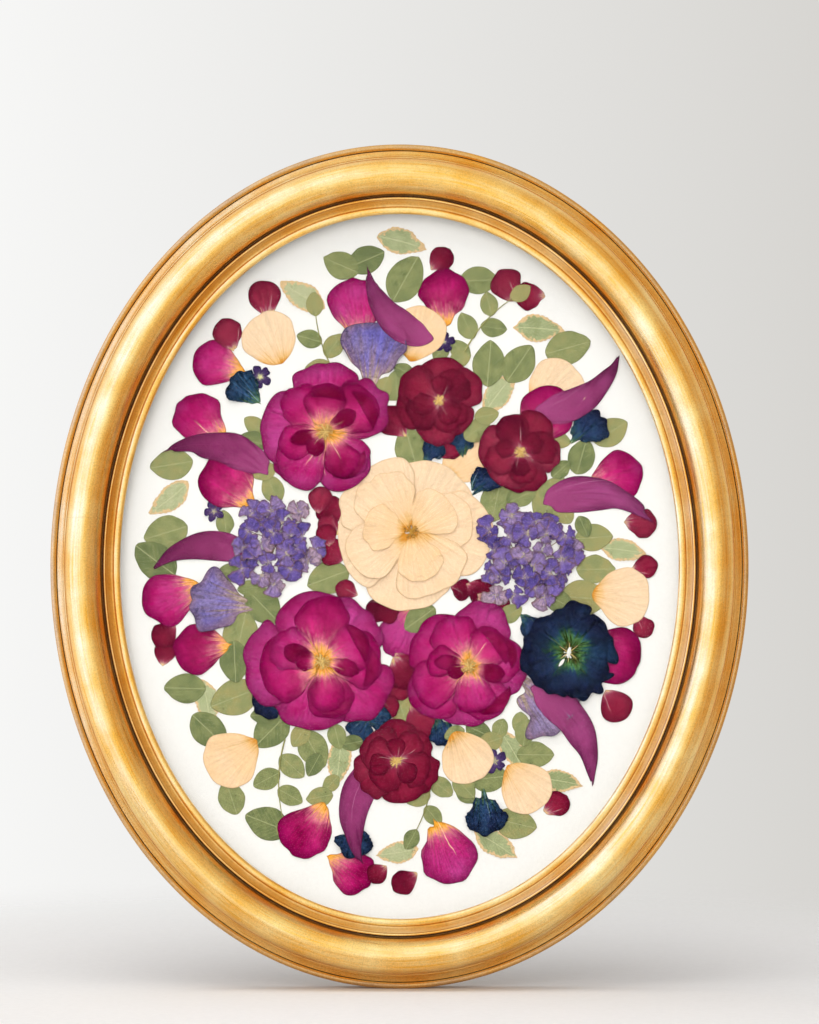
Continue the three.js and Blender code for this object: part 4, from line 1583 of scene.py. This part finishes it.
@dataclass
class Moulding:
    """The gilt oval ring, as a profile carried round an ellipse.

    The profile's points are distances inward from the outer edge and heights
    from the back plane, in millimetres.
    """

    face: float = 49.0
    lip_back: float = 18.8
    rabbet_wall: float = 39.4
    steps: int = 360

    def profile(self) -> tuple[np.ndarray, np.ndarray]:
        """The closed profile and the number of its points that are gilt.

        Returns:
            The profile's points, and how many of them are gilt.
        """
        def arc(inward: float, height: float, wide: float, high: float, steps: int) -> np.ndarray:
            """Half an ellipse from left to right over its middle."""
            turn = np.linspace(math.pi, 0, steps)
            return np.column_stack([inward + wide * np.cos(turn), height + high * np.sin(turn)])

        def cove(start: tuple, pull: tuple, end: tuple, steps: int) -> np.ndarray:
            """A quadratic curve between two points, pulled towards a third.

            Args:
                start: the first point.
                pull: the point that it bends towards.
                end: the last point.
                steps: how many points it has.

            Returns:
                The points.
            """
            t = np.linspace(0, 1, steps)[:, None]
            a, b, c = (np.array(p, float) for p in (start, pull, end))
            return (1 - t) ** 2 * a + 2 * t * (1 - t) * b + t ** 2 * c

        gilt = np.vstack([
            np.linspace((4, 0), (0.7, 12.6), 8),                      # the undercut side
            arc(2.2, 14.5, 2.2, 2.2, 13),                             # the bead at the rim
            cove((4.6, 15.2), (7.0, 16.4), (9.4, 19.5), 9),           # the cove
            cove((9.5, 19.8), (9.9, 20.2), (10.3, 19.8), 4),          # a thin fillet
            arc(23.1, 21, 12.8, 15, 44),                              # the swell
            cove((36.1, 19.8), (36.7, 19.3), (37.3, 20.1), 5),        # the groove
            arc(38.3, 21.9, 0.9, 1.1, 9),                             # the fine bead
            cove((39.3, 21.5), (41.4, 20.5), (43.6, 20.4), 8),        # the slope
            cove((43.8, 20.7), (44.2, 22.9), (46.2, 22.8), 8),        # the lip's outer side
            cove((46.6, 22.8), (48.6, 22.8), (self.face, 21.2), 8),   # the lip's inner side
            [(self.face, 20.2), (self.face, self.lip_back)],          # its edge at the opening
        ])
        bare = np.array([(self.rabbet_wall, self.lip_back), (self.rabbet_wall, 0.0)])
        return np.vstack([gilt, bare]), len(gilt)

    def hollow(self, profile: np.ndarray) -> np.ndarray:
        """How dark each point is painted: most in the grooves, partly toning and partly painted shade, and a
        little below any crest, as painted shade.

        Args:
            profile: the profile's points.

        Returns:
            A value from 0 to 1 for each point.
        """
        inward, height = profile[:, 0], profile[:, 1]
        reach = 2.6
        near = np.abs(inward[:, None] - inward[None]) < reach
        crest = np.where(near, height[None], -99).max(axis=1)
        side = np.clip((crest - height) / reach, 0, 1)
        grooves = np.zeros_like(inward)
        for middle, wide, deep in ((4.5, 0.35, 0.9), (9.7, 0.5, 0.35), (36.7, 0.7, 1.0), (39.6, 0.6, 0.4)):
            grooves += deep * np.exp(-((inward - middle) / wide) ** 2)
        return np.clip(grooves + 0.04 * side, 0, 1) * (height > 12)

    def build(self) -> bpy.types.Object:
        """Builds the ring, gilt in front and bare wood behind and in the rabbet.

        Returns:
            The ring's object.
        """
        _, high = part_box("frame_moulding")
        half_x, half_z = high[0] / MM, high[2] / MM
        back = high[1]
        profile, gilt = self.profile()
        turn = np.linspace(0, 2 * math.pi, self.steps, endpoint=False)[:, None]
        # Handwork leaves the swell a little uneven along its length.
        uneven = 0.10 * (np.sin(7 * turn + 1) * np.sin(profile[:, 0] / 6) - 1)
        uneven = uneven * ((profile[:, 1] > 24) & (profile[:, 0] < 35))
        inward = np.broadcast_to(profile[:, 0], (self.steps, len(profile)))
        x = (half_x - inward) * np.cos(turn)
        z = (half_z - inward) * np.sin(turn)
        height = profile[:, 1] + uneven
        points = np.stack([x, z, height], axis=-1)
        ids = np.arange(points.shape[0] * points.shape[1]).reshape(points.shape[:2])
        nxt = np.roll(ids, -1, axis=0)
        beside, beside_next = np.roll(ids, -1, axis=1), np.roll(nxt, -1, axis=1)
        quads = np.stack([ids, nxt, beside_next, beside], axis=-1)
        length = np.concatenate([[0], np.cumsum(np.hypot(*np.diff(profile, axis=0).T))]) * MM
        mean_radius = (half_x + half_z) / 2 * MM
        ring = np.stack([np.broadcast_to(mean_radius * np.cos(turn), inward.shape),
                         np.broadcast_to(mean_radius * np.sin(turn), inward.shape),
                         np.broadcast_to(length, inward.shape)], axis=-1)
        # Hollow holds painted shade: dark in the grooves and a little below each crest.
        hollow = np.broadcast_to(self.hollow(profile), inward.shape)
        rubbed = np.clip((4.4 - inward) / 1.2, 0, 0.75)
        # Painted shade for the slope inside the fine bead, where its reflection is darker.
        toned = np.clip(1.6 - np.abs(inward - 41.3) / 1.9, 0, 1)
        batch = Batch()
        faces = [(quads[:, :gilt - 1].reshape(-1, 4), 0), (quads[:, gilt - 1:].reshape(-1, 4), 1)]
        batch.add(points.reshape(-1, 3), faces, ring=ring.reshape(-1, 3), hollow=hollow.reshape(-1),
                  rubbed=rubbed.reshape(-1), toned=toned.reshape(-1))
        finishes = [GiltFinish().material(), BARE_WOOD.material()]
        piece = batch.write("moulding_gilded", finishes, back, sharp=38)
        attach(piece, "root")
        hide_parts("frame_moulding")
        log.info("moulding_gilded: %d faces", len(piece.data.polygons))
        return piece


# ---- Carried-over solids ---------------------------------------------------------------


def dress(node: str, material: bpy.types.Material) -> None:
    """Gives a solid of the frame its finish.

    Args:
        node: the solid's name.
        material: its material.
    """
    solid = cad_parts[node]
    solid.data.materials.clear()
    solid.data.materials.append(material)
    log.info("%s: %s", node, material.name)


def dress_solids() -> None:
    """Dresses the glass, boards, spacer, points and hanger."""
    dress("mount_board", PAPER.material())
    dress("spacer_ring", CORE_BOARD.material())
    dress("backing_board", HARDBOARD.material())
    glass = GlassFinish().material()
    dress("glass_pane", glass)
    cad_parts["glass_pane"].visible_shadow = False
    steel = SteelFinish().material()
    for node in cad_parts:
        if node.startswith(("framers_point", "hanger")):
            dress(node, steel)


# ---- Stage, lights and camera -----------------------------------------------------------


@dataclass(frozen=True)
class FloorFinish:
    """A pale matt floor that fades out at its rim, so that it has no horizon."""

    name: str = "floor_paint_matt"
    colour: str = "#F1EFEC"
    clear_from: float = 0.30
    clear_at: float = 0.85

    def material(self) -> bpy.types.Material:
        """Builds the floor's paint, see-through towards its rim.

        Returns:
            The material.
        """
        g = Graph(self.name)
        place = g.node("TexCoord", out="Object")
        flat = g.node("VectorMath", {0: place, 1: (1.0, 1.0, 0.0)}, operation="MULTIPLY")
        far = g.node("VectorMath", {0: flat}, out="Value", operation="LENGTH")
        alpha = g.span(far, self.clear_from, self.clear_at, 1.0, 0.0, smooth=True)
        grain = g.noise(place, 4, 2.0)
        tone = g.mix(grain, linear(self.colour), linear("#E9E7E4"))
        return g.finish(Base_Color=tone, Roughness=0.9, Alpha=alpha, Specular_IOR_Level=0.1)


@dataclass
class Studio:
    """A pale floor, soft lights and a camera level with the oval."""

    distance: float = 2.3
    view_height: float = 0.7117

    def build_floor(self) -> None:
        """A round pale floor at the frame's lowest point."""
        low, _ = CAD_BOX
        turn = np.linspace(0, 2 * math.pi, 64, endpoint=False)
        rim = np.column_stack([np.cos(turn), np.sin(turn), np.full(64, low[2])])
        mesh = bpy.data.meshes.new("floor")
        mesh.from_pydata(rim.tolist(), [], [tuple(range(64))])
        mesh.materials.append(FloorFinish().material())
        floor = bpy.data.objects.new("floor", mesh)
        bpy.context.scene.collection.objects.link(floor)

    def light(self, name: str, place: tuple, size: tuple, power: float, colour: str) -> None:
        """A soft rectangular light that looks at the oval's middle and that nothing mirrors.

        Args:
            name: the lamp's name.
            place: where it is, in metres.
            size: its width and height.
            power: in watts.
            colour: its colour.
        """
        data = bpy.data.lights.new(name, "AREA")
        data.shape = "RECTANGLE"
        data.size, data.size_y = size
        data.energy = power
        data.color = linear(colour)[:3]
        lamp = bpy.data.objects.new(name, data)
        lamp.location = place
        lamp.visible_glossy = False
        x, y, z = place
        lamp.rotation_euler = (math.atan2(math.hypot(x, y), z), 0.0, math.atan2(x, -y))
        bpy.context.scene.collection.objects.link(lamp)

    def build_lights(self) -> None:
        """A large window ahead on the left, and a soft light from above."""
        self.light("window", (-0.45, -2.6, 0.7), (1.8, 2.0), 20, "#FFFCFA")
        self.light("top", (-0.5, -0.4, 2.15), (2.2, 1.6), 32, "#FFFEFC")

    def build_world(self) -> None:
        """The room: pale behind the frame, dim and warm to the lower right.

        What the gilding mirrors is a cool bright window side and a warm dark
        side. What lights the flowers is grey, palest ahead, above and to the left.
        """
        world = bpy.data.worlds.new("studio")
        world.use_nodes = True
        nodes, links = world.node_tree.nodes, world.node_tree.links
        nodes.clear()
        place = nodes.new("ShaderNodeTexCoord")
        path = nodes.new("ShaderNodeLightPath")

        def reach(axis: tuple, first: float, last: float) -> bpy.types.NodeSocket:
            """How far a direction lies along an axis, as 0 at the first value and 1 at the last.

            Args:
                axis: the axis.
                first: the value that counts as 0.
                last: the value that counts as 1.

            Returns:
                The share.
            """
            along, share = nodes.new("ShaderNodeVectorMath"), nodes.new("ShaderNodeMapRange")
            along.operation = "DOT_PRODUCT"
            along.inputs[1].default_value = axis
            links.new(place.outputs["Generated"], along.inputs[0])
            links.new(along.outputs["Value"], share.inputs[0])
            share.inputs[1].default_value, share.inputs[2].default_value = first, last
            return share.outputs[0]

        def look(axis: tuple, strength: float, stops: tuple) -> bpy.types.NodeSocket:
            """A background whose colour follows how far a direction lies along an axis.

            Args:
                axis: the axis.
                strength: how bright it is.
                stops: values along the axis, each with its colour.

            Returns:
                The background.
            """
            ramp, background = nodes.new("ShaderNodeValToRGB"), nodes.new("ShaderNodeBackground")
            first, last = stops[0][0], stops[-1][0]
            links.new(reach(axis, first, last), ramp.inputs[0])
            elements = ramp.color_ramp.elements
            while len(elements) < len(stops):
                elements.new(0.5)
            for element, (position, code) in zip(elements, stops):
                element.position = (position - first) / (last - first)
                element.color = linear(code)
            background.inputs[1].default_value = strength
            links.new(ramp.outputs[0], background.inputs[0])
            return background.outputs[0]

        def choose(share: bpy.types.NodeSocket, no: bpy.types.NodeSocket,
                   yes: bpy.types.NodeSocket) -> bpy.types.NodeSocket:
            """One background where the share is 0 and another where it is 1.

            Args:
                share: from 0 to 1.
                no: the background at 0.
                yes: the background at 1.

            Returns:
                The chosen background.
            """
            mix = nodes.new("ShaderNodeMixShader")
            for source, target in zip((share, no, yes), mix.inputs):
                links.new(source, target)
            return mix.outputs[0]

        lit = look((-0.4, -0.8, 0.45), 1.0, ((-0.4, "#747475"), (0.9, "#ECEDF0")))
        ahead = look((-0.85, -0.5, 0.28), 4.0, (
            (-0.75, "#70604F"), (-0.1, "#7A6E5A"), (0.2, "#8A8570"), (0.5, "#989F9C"), (0.9, "#A0B2F6")))
        behind = look((1.0, 0.0, 0.0), 1.15, ((-1.0, "#FFFFFF"), (1.0, "#D8D2C8")))
        mirrored = choose(reach((0.0, 1.0, 0.0), -0.05, 0.2), ahead, behind)
        seen = look((1.0, 0.0, 0.0), 1.0, ((-0.14, "#F9F9F8"), (0.14, "#D5D3CF")))
        output = nodes.new("ShaderNodeOutputWorld")
        # Light that comes in through the glass counts as glossy too, and so does the glass's own glare.
        glare = look((0.0, 0.0, 1.0), 0.25, ((-1.0, "#C8C4C0"), (1.0, "#FFFFFF")))
        thrown_back = choose(path.outputs["Is Singular Ray"], mirrored, glare)
        glossy = choose(path.outputs["Is Transmission Ray"], thrown_back, lit)
        bounced = choose(path.outputs["Is Glossy Ray"], lit, glossy)
        links.new(choose(path.outputs["Is Camera Ray"], bounced, seen), output.inputs[0])
        bpy.context.scene.world = world
        bpy.context.scene.view_settings.view_transform = "Standard"

    def build_camera(self) -> None:
        """A long lens straight in front; its shift sets the oval a little low in the picture."""
        data = bpy.data.cameras.new("camera")
        data.sensor_fit = "VERTICAL"
        data.sensor_height = 36
        data.lens = 36 * self.distance / self.view_height
        picture_height = 1024
        middle_x, middle_z = 10.0, 54.5
        data.shift_x = middle_x / picture_height
        data.shift_y = middle_z / picture_height
        data.clip_end = 50
        camera = bpy.data.objects.new("camera", data)
        camera.location = (0, -self.distance, 0)
        camera.rotation_euler = (math.radians(90), 0, 0)
        bpy.context.scene.collection.objects.link(camera)
        bpy.context.scene.camera = camera

    def build(self) -> None:
        """Builds the whole studio."""
        self.build_floor()
        self.build_lights()
        self.build_world()
        self.build_camera()


def main() -> None:
    """Builds the studio, the frame and the collection, and logs each piece."""
    logging.basicConfig(level=logging.INFO, format="%(name)s %(message)s")
    Studio().build()
    Moulding().build()
    dress_solids()

    rng = np.random.default_rng(SEED)
    board_front = float(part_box("mount_board")[0][1])
    glass_back = float(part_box("glass_pane")[1][1])
    bed = Bed(ceiling=(board_front - glass_back) / MM - GLASS_AIR)
    collection = Collection(bed, board_front)
    gaps = GapMap()
    places = loose_places()
    for bloom in BLOOMS:
        gaps.take(bloom.x, bloom.z, bloom.radius * BLOOM_SHARE)
    for place in places:
        gaps.take(place.x, place.z, place.length * (CALLA_SHARE if place.kind is Kind.CALLA else PETAL_SHARE))
    lay_fillers(collection, gaps, rng)
    for place in places:
        if place.kind is Kind.SPRIG:
            collection.sprig(place, rng)
        else:
            collection.loose(place, rng)
    for bloom in BLOOMS:
        collection.bloom(bloom, rng)
    log.info("highest specimen %.2f mm of %.2f", bed.height.max(), bed.ceiling)


if __name__ == "__main__":
    main()
